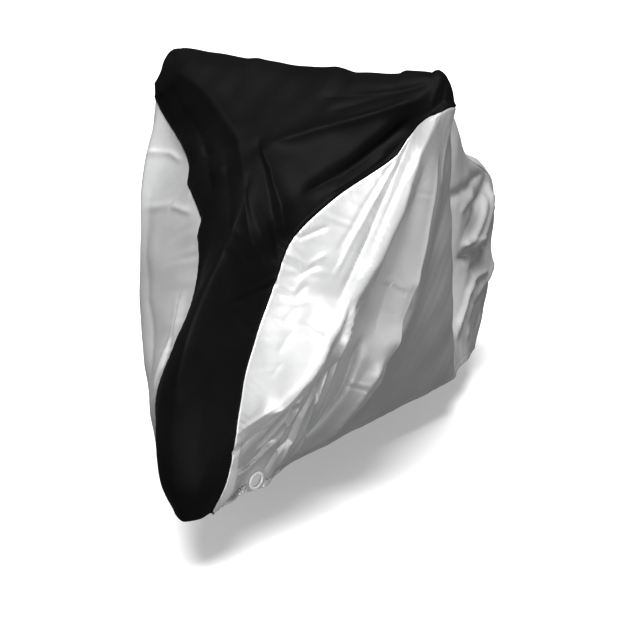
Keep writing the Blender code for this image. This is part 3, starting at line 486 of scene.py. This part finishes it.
# How strongly the two long seams and the front hems are gathered, from station to station.
Gather = namedtuple("Gather", "station left_side left_dark right_side right_dark hem_left hem_right")
GATHERS = (
    Gather(0.0, 0.0003, 0.0002, 0.0003, 0.0003, 0.0016, 0.0008),
    Gather(2.0, 0.0004, 0.0003, 0.0005, 0.0004, 0.0036, 0.0010),
    Gather(4.0, 0.0006, 0.0008, 0.0008, 0.0006, 0.0036, 0.0010),
    Gather(5.5, 0.0008, 0.0011, 0.0010, 0.0006, 0.0038, 0.0010),
    Gather(7.0, 0.0010, 0.0004, 0.0008, 0.0005, 0.0036, 0.0010),
    Gather(8.5, 0.0007, 0.0003, 0.0005, 0.0004, 0.0022, 0.0006),
    Gather(10.0, 0.0003, 0.0002, 0.0003, 0.0002, 0.0004, 0.0003),
    Gather(20.0, 0.0003, 0.0002, 0.0003, 0.0002, 0.0002, 0.0002),
)


# Where the two long seams wander from the edge of the dark panel: station, place across.
SEAMS = {
    1: ((9.00, 2.00), (9.30, 1.88), (9.61, 1.84), (10.15, 1.95), (10.60, 2.00)),
    -1: ((6.395, 2.00), (6.681, 2.037), (6.998, 2.053), (7.095, 1.995), (7.165, 1.80), (7.517, 1.862),
         (7.89, 1.931), (8.14, 1.99), (8.21, 1.735), (8.334, 1.676), (8.511, 1.669), (8.878, 1.740),
         (9.332, 1.859), (9.862, 2.00)),
}


class CoverSizes(bpy.types.PropertyGroup):
    """Sewing sizes of the cover."""

    pucker_length: bpy.props.FloatProperty(
        name="Pucker length", default=0.019, unit="LENGTH",
        description="Distance between the puckers along a seam")
    pucker_reach: bpy.props.FloatProperty(
        name="Pucker reach", default=0.013, unit="LENGTH",
        description="How far from a seam its puckers stand highest")
    gather_length: bpy.props.FloatProperty(
        name="Gather length", default=0.0110, unit="LENGTH",
        description="Distance between the gathers of the elastic hem")
    hem_height: bpy.props.FloatProperty(
        name="Hem height", default=0.018, unit="LENGTH",
        description="Height of the turned hem's stitch line over its edge")
    seam_valley: bpy.props.FloatProperty(
        name="Seam valley", default=0.0016, unit="LENGTH",
        description="Depth of the valley where two panels meet")
    stitch_length: bpy.props.FloatProperty(
        name="Stitch length", default=0.0032, unit="LENGTH",
        description="Length of one stitch of thread")
    stitch_pitch: bpy.props.FloatProperty(
        name="Stitch pitch", default=0.0046, unit="LENGTH",
        description="Distance from one stitch to the next")
    thread: bpy.props.FloatProperty(
        name="Thread", default=0.0007, unit="LENGTH",
        description="Thickness of the sewing thread")
    ring_bore: bpy.props.FloatProperty(
        name="Eyelet bore", default=0.0140, unit="LENGTH",
        description="Inner radius of an eyelet")
    ring_flange: bpy.props.FloatProperty(
        name="Eyelet flange", default=0.0225, unit="LENGTH",
        description="Outer radius of an eyelet")
    ring_thickness: bpy.props.FloatProperty(
        name="Eyelet thickness", default=0.0060, unit="LENGTH",
        description="Thickness of an eyelet")


class CoverColours(bpy.types.PropertyGroup):
    """Colours of the cover's cloth and rings."""

    silver: bpy.props.FloatVectorProperty(
        name="Silver cloth", size=3, subtype="COLOR", min=0, max=1, default=(0.55, 0.551, 0.553),
        description="Colour of the silver coated cloth")
    dark: bpy.props.FloatVectorProperty(
        name="Dark cloth", size=3, subtype="COLOR", min=0, max=1, default=(0.0080, 0.0080, 0.0083),
        description="Colour of the dark coated cloth")
    ring: bpy.props.FloatVectorProperty(
        name="Eyelet", size=3, subtype="COLOR", min=0, max=1, default=(0.93, 0.93, 0.92),
        description="Colour of the eyelet rings")
    floor: bpy.props.FloatVectorProperty(
        name="Floor", size=3, subtype="COLOR", min=0, max=1, default=(0.60, 0.60, 0.60),
        description="Colour of the floor")


# --- laying out and dressing the cloth ---------------------------------------------------
# Ribs between the stations, as (last station, ribs for each station up to it), and rows across.
CENTRE_RIBS, CENTRE_ROWS = ((10, 26), (13, 30)), 62
REAR_RIBS, REAR_ROWS = ((20, 20),), 26
SIDE_RIBS = {1: ((7, 26), (10, 30), (12, 34), (13, 20), (20, 18)), -1: ((10, 20), (13, 20), (20, 12))}
SIDE_ROWS = {1: 160, -1: 110}
TURNED_EDGE = 0.0009       # height of the turned edge beside a seam of the dark panel
STITCH_DENT = 0.0008       # how far the hem's stitches pull the cloth in
HEM_TURN = 0.020           # depth of the turned hem
HEM_GAP = 0.0018           # from the outside of the hem to its turned layer
HEM_ALLOWANCE = 0.03       # cloth that a hem strip loses in its seam and its turned hem
HEM_FULLNESS = 1.2         # flat length of a hem strip over its gathered length
SEAM_STITCH_INSET = 0.0060     # from the long seams to their line of stitches
CLOTH_HOLE = 0.0172        # radius of the hole in the hem under an eyelet's flange
FLAT_CLOTH = (0.024, 0.034)    # cloth without creases round an eyelet, and where they are back


def rib_places(counts):
    """Places of the ribs between the stations: counts is (last station, ribs per station) rows."""
    places, station = [0.0], 0
    for last, count in counts:
        while station < last:
            places += [station + (step + 1) / count for step in range(count)]
            station += 1
    return np.array(places)


def row_places(along, start, end, rows, crowding):
    """Places across each rib, by length, closer together towards both ends."""
    start, end = (np.broadcast_to(place, along.shape)[:, None] for place in (start, end))
    fine = start + (end - start) * np.linspace(0, 1, 241)
    points = plain_cloth(along, fine)
    run = np.cumsum(np.linalg.norm(np.diff(points, axis=1), axis=2), axis=1)
    run = np.concatenate([np.zeros((len(along), 1)), run], axis=1)
    even = np.linspace(0, 1, rows + 1)
    stops = even - crowding * np.sin(2 * math.pi * even) / (2 * math.pi)
    return np.array([np.interp(stops * rib[-1], rib, places) for rib, places in zip(run, fine)])


def seam_place(along, sign):
    """Place across of a long seam at these stations."""
    line = np.array(SEAMS[sign])
    return sign * np.interp(along, line[:, 0], line[:, 1])


def run_lengths(points, axis):
    """Length run along a grid's axis, from its start."""
    step = np.linalg.norm(np.diff(points, axis=axis), axis=2)
    pad = [(1, 0), (0, 0)] if axis == 0 else [(0, 0), (1, 0)]
    return np.pad(np.cumsum(step, axis=axis), pad)


def wavering(run, length, start):
    """An uneven wave, -1 to 1, along a run in metres."""
    phase = 2 * math.pi * run / length + start
    phase = phase + 1.6 * np.sin(run * 31 + start) + 1.1 * np.sin(run * 83 + 2 * start)
    swell = 0.62 + 0.38 * np.sin(run * 47 + 3 * start) * np.sin(run * 19 + start)
    return np.sin(phase) * swell


def puckers(run, away, strength, sizes, start):
    """Height of the puckers beside a seam: run is along it and away from it."""
    reach = sizes.pucker_reach
    envelope = (away / reach + 0.25) * np.exp(1 - away / reach) / 1.25
    fine = wavering(run + 0.45 * away, sizes.pucker_length, start)
    broad = wavering(run - 0.3 * away, sizes.pucker_length * 2.3, start + 1.7)
    slow = (away / (3 * reach) + 0.2) * np.exp(1 - away / (3 * reach)) / 1.2
    return strength * (fine * envelope + 0.8 * broad * slow)


def seam_relief(away, valley, dark):
    """The valley where two panels meet, with a low ridge of the turned edge on the dark one."""
    height = -valley * np.clip(1 - away / 0.003, 0, 1)
    if dark:
        height = height + TURNED_EDGE * ramp(away, 0.0015, 0.004) * (1 - ramp(away, 0.008, 0.0095))
    return height


def uneven(points):
    """Slow unevenness of the cloth's surface."""
    lift = np.zeros(points.shape[:-1])
    for wave in WAVES:
        direction = np.array([wave.x, wave.y, wave.z])
        lift += wave.height * np.sin(2 * math.pi * (points @ direction) / wave.length + wave.start)
    return lift


def fine_folds(points, along, across):
    """Height of the finer folds and creases."""
    hem_fade = ramp(5.0 - np.abs(across), 0.0, 0.2)
    slanting = np.stack([(points[..., 1] - points[..., 0]) * math.sqrt(0.5), points[..., 2]], axis=-1)
    flat = {"left": points[..., [0, 2]], "right": points[..., [0, 2]], "front": points[..., [1, 2]],
            "slant": slanting}
    left = ramp(across, 1.80, 2.0) * hem_fade
    weights = {"left": left, "slant": left, "right": ramp(-across, 1.85, 2.1) * hem_fade,
               "front": ramp(2.3 - np.abs(across), 0.0, 0.4) * ramp(11.6 - along, 0.0, 0.8)[:, None]}
    lift = np.zeros(across.shape)
    for crease in CREASES:
        share = fold_share(flat[crease.view], crease)
        lift += crease.height * weights[crease.view] * share
    return lift


def flat_share(points, across):
    """Where the cloth is held flat round an eyelet."""
    share = np.zeros(across.shape)
    for sign, (middle, _) in EYELETS.items():
        distance = np.linalg.norm(points - middle, axis=-1)
        share = np.maximum(share, (1 - ramp(distance, *FLAT_CLOTH)) * (across * sign > 0))
    return share


def grid_normals(points):
    """Outward directions of a grid whose rows run to the left and ribs to the rear."""
    rearward, leftward = np.gradient(points, axis=0), np.gradient(points, axis=1)
    normal = np.cross(leftward, rearward)
    return normal / np.maximum(np.linalg.norm(normal, axis=-1, keepdims=True), 1e-12)


def dressed(along, across, lift):
    """The cover's surface with a height field on it, in the row frame, with its directions."""
    base = cloth(along, across)
    lift = lift + fine_folds(base, along, across) + uneven(base)
    lift = lift * (1 - flat_share(base, across))
    points = base + grid_normals(base) * lift[..., None] - MOUNT
    return points, grid_normals(points)


def gather_of(along, column):
    """One of the gathers' columns at these places."""
    rows = np.array(GATHERS)
    return np.interp(along, rows[:, 0], rows[:, 1 + column])[:, None]


def side_surface(sign, sizes):
    """A whole side, from its seam to its hem, with its puckers and its gathered hem."""
    along = rib_places(SIDE_RIBS[sign])
    across = row_places(along, seam_place(along, sign), 5.0 * sign, SIDE_ROWS[sign], 0.5)
    base = plain_cloth(along, across)
    run, away = run_lengths(base, 0), run_lengths(base, 1)
    up = away[:, -1:] - away
    seam_column, hem_column = (0, 4) if sign > 0 else (2, 5)
    lift = puckers(run[:, :1], away, gather_of(along, seam_column), sizes, 0.4 * sign)
    lift = lift + seam_relief(away, sizes.seam_valley, False)
    band = np.exp(-(up / (0.9 * sizes.hem_height)) ** 2)
    lift = lift + gather_of(along, hem_column) * band * wavering(
        run[:, -1:] - 0.3 * up, sizes.gather_length, 1.0 + sign)
    lift = lift - STITCH_DENT * np.exp(-((up - sizes.hem_height) / 0.0016) ** 2)
    points, normals = dressed(along, across, lift)
    return along, points, normals, run, away, up


def centre_surface(along, rows, sizes):
    """The strip between the two seams."""
    half = row_places(along, 0.0, seam_place(along, 1), rows, 0.3)
    other = row_places(along, 0.0, seam_place(along, -1), rows, 0.3)
    across = np.concatenate([other[:, :0:-1], half], axis=1)
    base = plain_cloth(along, across)
    run, away = run_lengths(base, 0), run_lengths(base, 1)
    left_away = away[:, -1:] - away
    lift = (puckers(run[:, -1:], left_away, gather_of(along, 1), sizes, 0.4)
            + puckers(run[:, :1], away, gather_of(along, 3), sizes, -0.4))
    lift = lift + seam_relief(np.minimum(away, left_away), sizes.seam_valley, True)
    points, normals = dressed(along, across, lift)
    return points, normals, run, away


def turned_in(points, normals):
    """Turn a grid's last row in, under the cloth, as a hem."""
    edge, inner = points[:, -1], points[:, -2]
    back = inner - edge
    back = back / np.linalg.norm(back, axis=-1, keepdims=True)
    rows = [edge - back * 0.0006 - normals[:, -1] * 0.0008]
    for up in (0.0, 0.25, 0.6, 1.0):
        rows.append(edge + back * HEM_TURN * up - normals[:, -1] * HEM_GAP)
    rows = np.stack(rows, axis=1)
    extra = np.repeat(normals[:, -1:], rows.shape[1], axis=1)
    return np.concatenate([points, rows], axis=1), np.concatenate([normals, extra], axis=1)


def piece_of(shape, name):
    """An object in the scene from a finished bmesh, which is freed."""
    mesh = bpy.data.meshes.new(name)
    shape.to_mesh(mesh)
    shape.free()
    piece = bpy.data.objects.new(name, mesh)
    bpy.context.scene.collection.objects.link(piece)
    return piece


def smooth_faces(shape):
    """Shade every face of a bmesh smooth."""
    for face in shape.faces:
        face.smooth = True


def cloth_piece(name, points, run, away, keep=None):
    """A thin sheet on a grid of points, with a UV map in metres along and across it."""
    ribs, rows = points.shape[0] - 1, points.shape[1] - 1
    sheet = bmesh.new()
    bmesh.ops.create_grid(sheet, x_segments=ribs, y_segments=rows, size=1.0)
    rib, row = (sheet.verts.layers.int.new(label) for label in ("rib", "row"))
    for vert in sheet.verts:
        vert[rib] = round((vert.co.x + 1) / 2 * ribs)
        vert[row] = round((vert.co.y + 1) / 2 * rows)
    for vert in sheet.verts:
        vert.co = points[vert[rib], vert[row]]
    if keep is not None:
        gone = [face for face in sheet.faces
                if not keep[min(vert[rib] for vert in face.verts), min(vert[row] for vert in face.verts)]]
        bmesh.ops.delete(sheet, geom=gone, context="FACES")
    weave = sheet.loops.layers.uv.new("weave")
    for face in sheet.faces:
        face.smooth = True
        for loop in face.loops:
            place = loop.vert[rib], loop.vert[row]
            loop[weave].uv = (run[place], away[place])
    return piece_of(sheet, name)


def facing_out(piece, outward_point):
    """Turn the piece's faces so that they point away from the cover's inside."""
    mesh = piece.data
    middle = mesh.polygons[len(mesh.polygons) // 2]
    if middle.normal.dot(middle.center - Vector(outward_point)) < 0:
        mesh.flip_normals()


def padded_uv(values, extra):
    """A UV column repeated for the rows of a turned hem."""
    steps = values[:, -1:] + np.arange(1, extra + 1) * 0.004
    return np.concatenate([values, steps], axis=1)


# --- materials ------------------------------------------------------------------------
def node_of(nodes, kind, label, **inputs):
    """A shader node with its plain inputs set."""
    node = nodes.new(kind)
    node.label = label
    for key, value in inputs.items():
        node.inputs[key.replace("_", " ")].default_value = value
    return node


def new_material(name):
    """A material with its nodes, its links and its shader."""
    material = bpy.data.materials.new(name)
    material.use_nodes = True
    tree = material.node_tree
    return material, tree.nodes, tree.links, tree.nodes["Principled BSDF"]


def noise_colour(nodes, links, shader, noise, shades, positions=(0.0, 1.0)):
    """Run the base colour from one shade to another with a noise. Returns the coordinates' node."""
    place = nodes.new("ShaderNodeTexCoord")
    links.new(place.outputs["Object"], noise.inputs["Vector"])
    tone = nodes.new("ShaderNodeValToRGB")
    tone.label = "tones of the colour"
    for element, tint, position in zip(tone.color_ramp.elements, shades, positions):
        element.position = position
        element.color = (*tint, 1)
    links.new(noise.outputs["Fac"], tone.inputs["Fac"])
    links.new(tone.outputs["Color"], shader.inputs["Base Color"])
    return place


def noise_gloss(nodes, links, shader, noise, glossy, matt):
    """Run the roughness from glossy to matt with a noise."""
    gloss = node_of(nodes, "ShaderNodeMapRange", "uneven gloss", To_Min=glossy, To_Max=matt)
    links.new(noise.outputs["Fac"], gloss.inputs["Value"])
    links.new(gloss.outputs["Result"], shader.inputs["Roughness"])


def shade(colour, share):
    """A lighter or darker shade of a colour."""
    return [min(1, part * share) for part in colour]


def coated_cloth(name, colour, roughness, metallic, specular, crinkle, mottle):
    """Woven cloth with a smooth coating: fine weave, faint crinkles and uneven gloss."""
    material, nodes, links, shader = new_material(name)
    shader.inputs["Metallic"].default_value = metallic
    shader.inputs["Specular IOR Level"].default_value = specular
    cloud = node_of(nodes, "ShaderNodeTexNoise", "uneven coating", Scale=7.0, Detail=4.0, Roughness=0.55)
    place = noise_colour(nodes, links, shader, cloud, (shade(colour, 1 - mottle), shade(colour, 1 + mottle)),
                         (0.30, 0.72))
    noise_gloss(nodes, links, shader, cloud, roughness - 0.05, roughness + 0.07)
    threads = []
    for label, direction in (("threads along", "X"), ("threads across", "Y")):
        wave = node_of(nodes, "ShaderNodeTexWave", label, Scale=310.0, Distortion=0.4, Detail=1.0)
        wave.bands_direction = direction
        links.new(place.outputs["UV"], wave.inputs["Vector"])
        threads.append(wave)
    weave = nodes.new("ShaderNodeMath")
    weave.operation = "ADD"
    for slot, wave in enumerate(threads):
        links.new(wave.outputs["Fac"], weave.inputs[slot])
    fine = node_of(nodes, "ShaderNodeBump", "weave", Strength=0.10, Distance=0.0002)
    links.new(weave.outputs["Value"], fine.inputs["Height"])
    wrinkle = node_of(nodes, "ShaderNodeTexNoise", "crinkles", Scale=34.0, Detail=6.0, Roughness=0.6,
                      Distortion=0.6)
    links.new(place.outputs["Object"], wrinkle.inputs["Vector"])
    soft = node_of(nodes, "ShaderNodeBump", "crinkles", Strength=crinkle, Distance=0.004)
    links.new(wrinkle.outputs["Fac"], soft.inputs["Height"])
    links.new(fine.outputs["Normal"], soft.inputs["Normal"])
    links.new(soft.outputs["Normal"], shader.inputs["Normal"])
    return material


def pressed_ring(name, colour):
    """Smooth pale finish of a pressed eyelet, a little scuffed."""
    material, nodes, links, shader = new_material(name)
    shader.inputs["Metallic"].default_value = 0.05
    scuff = node_of(nodes, "ShaderNodeTexNoise", "scuffs", Scale=160.0, Detail=5.0, Roughness=0.7)
    noise_colour(nodes, links, shader, scuff, (shade(colour, 0.86), colour))
    noise_gloss(nodes, links, shader, scuff, 0.24, 0.40)
    return material


def sewing_thread(name, colour):
    """Twisted thread, matt."""
    material, nodes, links, shader = new_material(name)
    shader.inputs["Roughness"].default_value = 0.7
    strand = node_of(nodes, "ShaderNodeTexNoise", "strands", Scale=900.0, Detail=2.0)
    noise_colour(nodes, links, shader, strand, (shade(colour, 0.7), colour))
    return material


FINISHES = {}


def finish(name, make, colour, **values):
    """A material, made once."""
    if name not in FINISHES:
        FINISHES[name] = make(name, tuple(colour), **values)
    return FINISHES[name]


def silver_finish(colours):
    return finish("silver_cloth", coated_cloth, colours.silver, roughness=0.43, metallic=0.24,
                  specular=0.5, crinkle=0.16, mottle=0.05)


def dark_finish(colours):
    return finish("dark_cloth", coated_cloth, colours.dark, roughness=0.55, metallic=0.0,
                  specular=0.08, crinkle=0.12, mottle=0.25)


def settle(piece, material, slot, *nodes):
    """Give a piece its finish and its body, and hide the CAD nodes it stands for; slot is not used."""
    piece.data.materials.append(material)
    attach(piece, "root")
    if nodes:
        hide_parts(*nodes)


def declare_cloth(width, length):
    """Round a sheet's flat-cut width and length; nothing more is done with them."""
    width, length = round(float(width), 3), round(float(length), 3)


def row_line(points, normals, away, column, inset):
    """A line of points on a surface, so far in from its first or last row."""
    distance = away if column == 0 else away[:, -1:] - away
    line, ups = [], []
    for rib in range(points.shape[0]):
        order = np.argsort(distance[rib])
        line.append([np.interp(inset, distance[rib][order], points[rib][order, axis]) for axis in range(3)])
        ups.append([np.interp(inset, distance[rib][order], normals[rib][order, axis]) for axis in range(3)])
    return np.array(line), np.array(ups)


def stitches(name, lines, sizes, material, slot):
    """Thread stitches along lines of points with their outward directions."""
    thread = bmesh.new()
    for points, normals in lines:
        run = np.concatenate([[0], np.cumsum(np.linalg.norm(np.diff(points, axis=0), axis=1))])
        stops = np.arange(sizes.stitch_pitch / 2, run[-1], sizes.stitch_pitch)
        middles = np.array([np.interp(stops, run, column) for column in points.T]).T
        fronts = np.array([np.interp(stops + 0.001, run, column) for column in points.T]).T
        ups = np.array([np.interp(stops, run, column) for column in normals.T]).T
        for middle, front, up in zip(middles, fronts, ups):
            made = bmesh.ops.create_uvsphere(thread, u_segments=6, v_segments=4, radius=0.5)["verts"]
            ahead, above = Vector(front - middle).normalized(), Vector(up).normalized()
            beside = above.cross(ahead)
            for vert in made:
                x, y, z = vert.co
                vert.co = (Vector(middle) + ahead * (x * sizes.stitch_length)
                           + beside * (y * sizes.thread) + above * (z * sizes.thread + 0.0001))
    smooth_faces(thread)
    piece = piece_of(thread, name)
    settle(piece, material, slot)
    return piece


# --- operators --------------------------------------------------------------------------
class COVER_OT_centre_panel(bpy.types.Operator):
    """Build the dark panel over the handlebar and front wheel."""

    bl_idname = "cover.centre_panel"
    bl_label = "Centre panel"

    def execute(self, context):
        sizes, colours = context.scene.cover_sizes, context.scene.cover_colours
        points, normals, run, away = centre_surface(rib_places(CENTRE_RIBS), CENTRE_ROWS, sizes)
        piece = cloth_piece("dark_centre_panel", points, run, away)
        facing_out(piece, (0.1, 0.0, -0.6))
        settle(piece, dark_finish(colours), "dark_cloth", "centre_panel")
        lines = [row_line(points, normals, away, column, SEAM_STITCH_INSET) for column in (-1, 0)]
        thread = finish("dark_thread", sewing_thread, (0.03, 0.03, 0.032))
        sewn = stitches("centre_seam_stitches", lines, sizes, thread, "dark_cloth")
        declare_cloth(away.max(), np.median(run[-1]))
        return {"FINISHED"}


class COVER_OT_rear_panel(bpy.types.Operator):
    """Build the silver centre strip over the saddle and rear wheel."""

    bl_idname = "cover.rear_panel"
    bl_label = "Rear panel"

    def execute(self, context):
        sizes, colours = context.scene.cover_sizes, context.scene.cover_colours
        along = rib_places(REAR_RIBS)
        points, _, run, away = centre_surface(along[along >= YOKE_END - 1e-9], REAR_ROWS, sizes)
        piece = cloth_piece("silver_rear_panel", points, run, away)
        facing_out(piece, (-0.6, 0.0, -0.6))
        settle(piece, silver_finish(colours), "silver_cloth", "rear_panel")
        declare_cloth(away.max(), np.median(run[-1]))
        return {"FINISHED"}


class COVER_OT_side_panels(bpy.types.Operator):
    """Build the two silver side panels and their front hem strips."""

    bl_idname = "cover.side_panels"
    bl_label = "Side panels and hem strips"

    def execute(self, context):
        sizes, colours = context.scene.cover_sizes, context.scene.cover_colours
        thread = finish("silver_thread", sewing_thread, (0.42, 0.42, 0.43))
        for label, sign in (("left", 1), ("right", -1)):
            along, points, normals, run, away, up = side_surface(sign, sizes)
            line = row_line(points, normals, up, 0, sizes.hem_height)
            points, normals = turned_in(points, normals)
            extra = points.shape[1] - up.shape[1]
            run = np.concatenate([run, np.repeat(run[:, -1:], extra, axis=1)], axis=1)
            away, up = padded_uv(away, extra), np.pad(up, [(0, 0), (0, extra)])
            in_strip = (along[:-1, None] < STRIP_END - 1e-6) & (up[:-1, :-1] <= HEM_STRIP)
            centres = (points[:-1, :-1] + points[1:, 1:]) / 2
            hole = np.linalg.norm(centres + MOUNT - EYELETS[sign][0], axis=-1) < CLOTH_HOLE
            panel = cloth_piece("silver_side_panel_" + label, points, run, away, ~in_strip)
            strip = cloth_piece("silver_hem_strip_" + label, points, run, away, in_strip & ~hole)
            for piece, node in ((panel, "side_panel_"), (strip, "hem_strip_")):
                facing_out(piece, (0.0, 0.0, -0.5))
                settle(piece, silver_finish(colours), "silver_cloth", node + label)
            sewn = stitches("hem_stitches_" + label, [line], sizes, thread, "silver_cloth")
            declare_cloth(away.max(), np.median(run[-1]))
            strip_length = run[in_strip.any(axis=1).sum(), -1]
            declare_cloth(HEM_STRIP + HEM_ALLOWANCE, HEM_FULLNESS * strip_length)
        return {"FINISHED"}


class COVER_OT_eyelets(bpy.types.Operator):
    """Build the two pressed eyelet rings."""

    bl_idname = "cover.eyelets"
    bl_label = "Eyelets"

    def execute(self, context):
        sizes, colours = context.scene.cover_sizes, context.scene.cover_colours
        half, bore, flange = sizes.ring_thickness / 2, sizes.ring_bore, sizes.ring_flange
        crown = (bore + flange) / 2
        for label, sign in (("left", 1), ("right", -1)):
            section = [(bore, 0.0)]
            for step in range(1, 10):
                turn = math.pi * step / 10
                section.append((crown - (crown - bore) * math.cos(turn), half * math.sin(turn) ** 0.7))
            section += [(flange, 0.0004), (flange - 0.0006, 0.0002)]
            section += [(radius, -height) for radius, height in reversed(section[1:])]
            ring = bmesh.new()
            corners = [ring.verts.new((radius, 0.0, height)) for radius, height in section]
            for index, corner in enumerate(corners):
                ring.edges.new((corner, corners[(index + 1) % len(corners)]))
            bmesh.ops.spin(ring, geom=ring.verts[:] + ring.edges[:], axis=(0, 0, 1), cent=(0, 0, 0),
                           angle=2 * math.pi, steps=64, use_merge=True)
            bmesh.ops.remove_doubles(ring, verts=ring.verts[:], dist=0.00001)
            bmesh.ops.recalc_face_normals(ring, faces=ring.faces[:])
            middle, axis = EYELETS[sign]
            turn = Vector(axis).to_track_quat("Z", "Y").to_matrix()
            for vert in ring.verts:
                vert.co = turn @ vert.co + Vector(middle - MOUNT)
            smooth_faces(ring)
            piece = piece_of(ring, "pressed_eyelet_" + label)
            material = finish("eyelet_ring", pressed_ring, colours.ring)
            settle(piece, material, "eyelet_ring", "eyelet_" + label)
        return {"FINISHED"}


# The studio: the lights, each with its size and strength, and the camera.
KEY_ENERGY, KEY_ANGLE = 5.9, 0.45
KEY_FROM = (0.507, 0.155, 0.848)       # the way to the key light
Fill = namedtuple("Fill", "name place width depth energy")
FILLS = (
    Fill("rear fill", (-0.70, 1.30, -0.98), 2.0, 0.8, 4.5),
    Fill("front fill", (0.75, 0.55, -0.97), 0.7, 0.5, 4.6),
)
FILL_TARGET = (-0.3, 0.10, -0.65)
ROOM_LIGHT, FLOOR_LIGHT = 0.25, 0.42
LENS, SENSOR = 82.26, 36.0             # millimetres
CAMERA_PLACE = (2.952, 1.345, 0.316)
HEADING, PITCH = 3.5549, 0.2658        # the camera's turn about Z and its tilt down, radians
GAMMA = 0.77


class COVER_OT_stage(bpy.types.Operator):
    """Set the floor, the lights and the camera."""

    bl_idname = "cover.stage"
    bl_label = "Stage"

    def execute(self, context):
        colours, scene = context.scene.cover_colours, context.scene
        ground = bmesh.new()
        bmesh.ops.create_grid(ground, x_segments=1, y_segments=1, size=60.0)
        bmesh.ops.translate(ground, verts=ground.verts[:], vec=(0, 0, FLOOR))
        floor = piece_of(ground, "floor")
        paint, _, _, shader = new_material("pale_floor")
        shader.inputs["Base Color"].default_value = (*colours.floor, 1)
        shader.inputs["Roughness"].default_value = 0.9
        shader.inputs["Specular IOR Level"].default_value = 0.1
        shader.inputs["Emission Color"].default_value = (1.0, 1.0, 1.0, 1)
        shader.inputs["Emission Strength"].default_value = FLOOR_LIGHT
        floor.data.materials.append(paint)
        floor.visible_diffuse = False
        floor.visible_glossy = False
        world = bpy.data.worlds.new("studio")
        world.use_nodes = True
        room = world.node_tree.nodes["Background"]
        room.inputs["Color"].default_value = (1.0, 1.0, 1.0, 1)
        room.inputs["Strength"].default_value = ROOM_LIGHT
        scene.world = world
        key = bpy.data.lights.new("key", "SUN")
        key.energy, key.angle = KEY_ENERGY, KEY_ANGLE
        aim(add_to(scene, key, (3, 1, 3)), KEY_FROM)
        for fill in FILLS:
            lamp = bpy.data.lights.new(fill.name, "AREA")
            lamp.shape = "RECTANGLE"
            lamp.size, lamp.size_y, lamp.energy = fill.width, fill.depth, fill.energy
            shone = add_to(scene, lamp, fill.place)
            aim(shone, Vector(fill.place) - Vector(FILL_TARGET))
            shone.visible_camera = False
        view = bpy.data.cameras.new("camera")
        view.lens, view.sensor_width, view.clip_end = LENS, SENSOR, 200
        camera = add_to(scene, view, CAMERA_PLACE)
        ahead = Vector((math.cos(HEADING) * math.cos(PITCH), math.sin(HEADING) * math.cos(PITCH),
                        -math.sin(PITCH)))
        camera.rotation_euler = ahead.to_track_quat("-Z", "Y").to_euler()
        scene.camera = camera
        scene.view_settings.view_transform = "Standard"
        scene.view_settings.look = "None"
        scene.view_settings.exposure = 0.0
        scene.view_settings.gamma = GAMMA
        return {"FINISHED"}


def add_to(scene, data, place):
    """An object for a light or camera, at a place."""
    thing = bpy.data.objects.new(data.name, data)
    thing.location = place
    scene.collection.objects.link(thing)
    return thing


def aim(lamp, source):
    """Turn a lamp so that its light comes from that direction."""
    lamp.rotation_euler = Vector(source).to_track_quat("Z", "Y").to_euler()


class COVER_PT_panel(bpy.types.Panel):
    """The cover's pieces and sizes in the sidebar."""

    bl_idname = "COVER_PT_panel"
    bl_label = "Bicycle cover"
    bl_space_type = "VIEW_3D"
    bl_region_type = "UI"
    bl_category = "Bicycle cover"

    def draw(self, context):
        for group in (context.scene.cover_sizes, context.scene.cover_colours):
            for name in group.bl_rna.properties.keys():
                if name not in ("rna_type", "name"):
                    self.layout.prop(group, name)
        for operator in OPERATORS:
            self.layout.operator(operator.bl_idname)


OPERATORS = (COVER_OT_centre_panel, COVER_OT_rear_panel, COVER_OT_side_panels, COVER_OT_eyelets,
             COVER_OT_stage)
CLASSES = (CoverSizes, CoverColours, *OPERATORS, COVER_PT_panel)


def register():
    for item in CLASSES:
        bpy.utils.register_class(item)
    bpy.types.Scene.cover_sizes = bpy.props.PointerProperty(type=CoverSizes)
    bpy.types.Scene.cover_colours = bpy.props.PointerProperty(type=CoverColours)


def unregister():
    del bpy.types.Scene.cover_colours
    del bpy.types.Scene.cover_sizes
    for item in reversed(CLASSES):
        bpy.utils.unregister_class(item)


def main():
    register()
    bpy.ops.cover.centre_panel()
    bpy.ops.cover.rear_panel()
    bpy.ops.cover.side_panels()
    bpy.ops.cover.eyelets()
    bpy.ops.cover.stage()


if __name__ == "__main__":
    main()
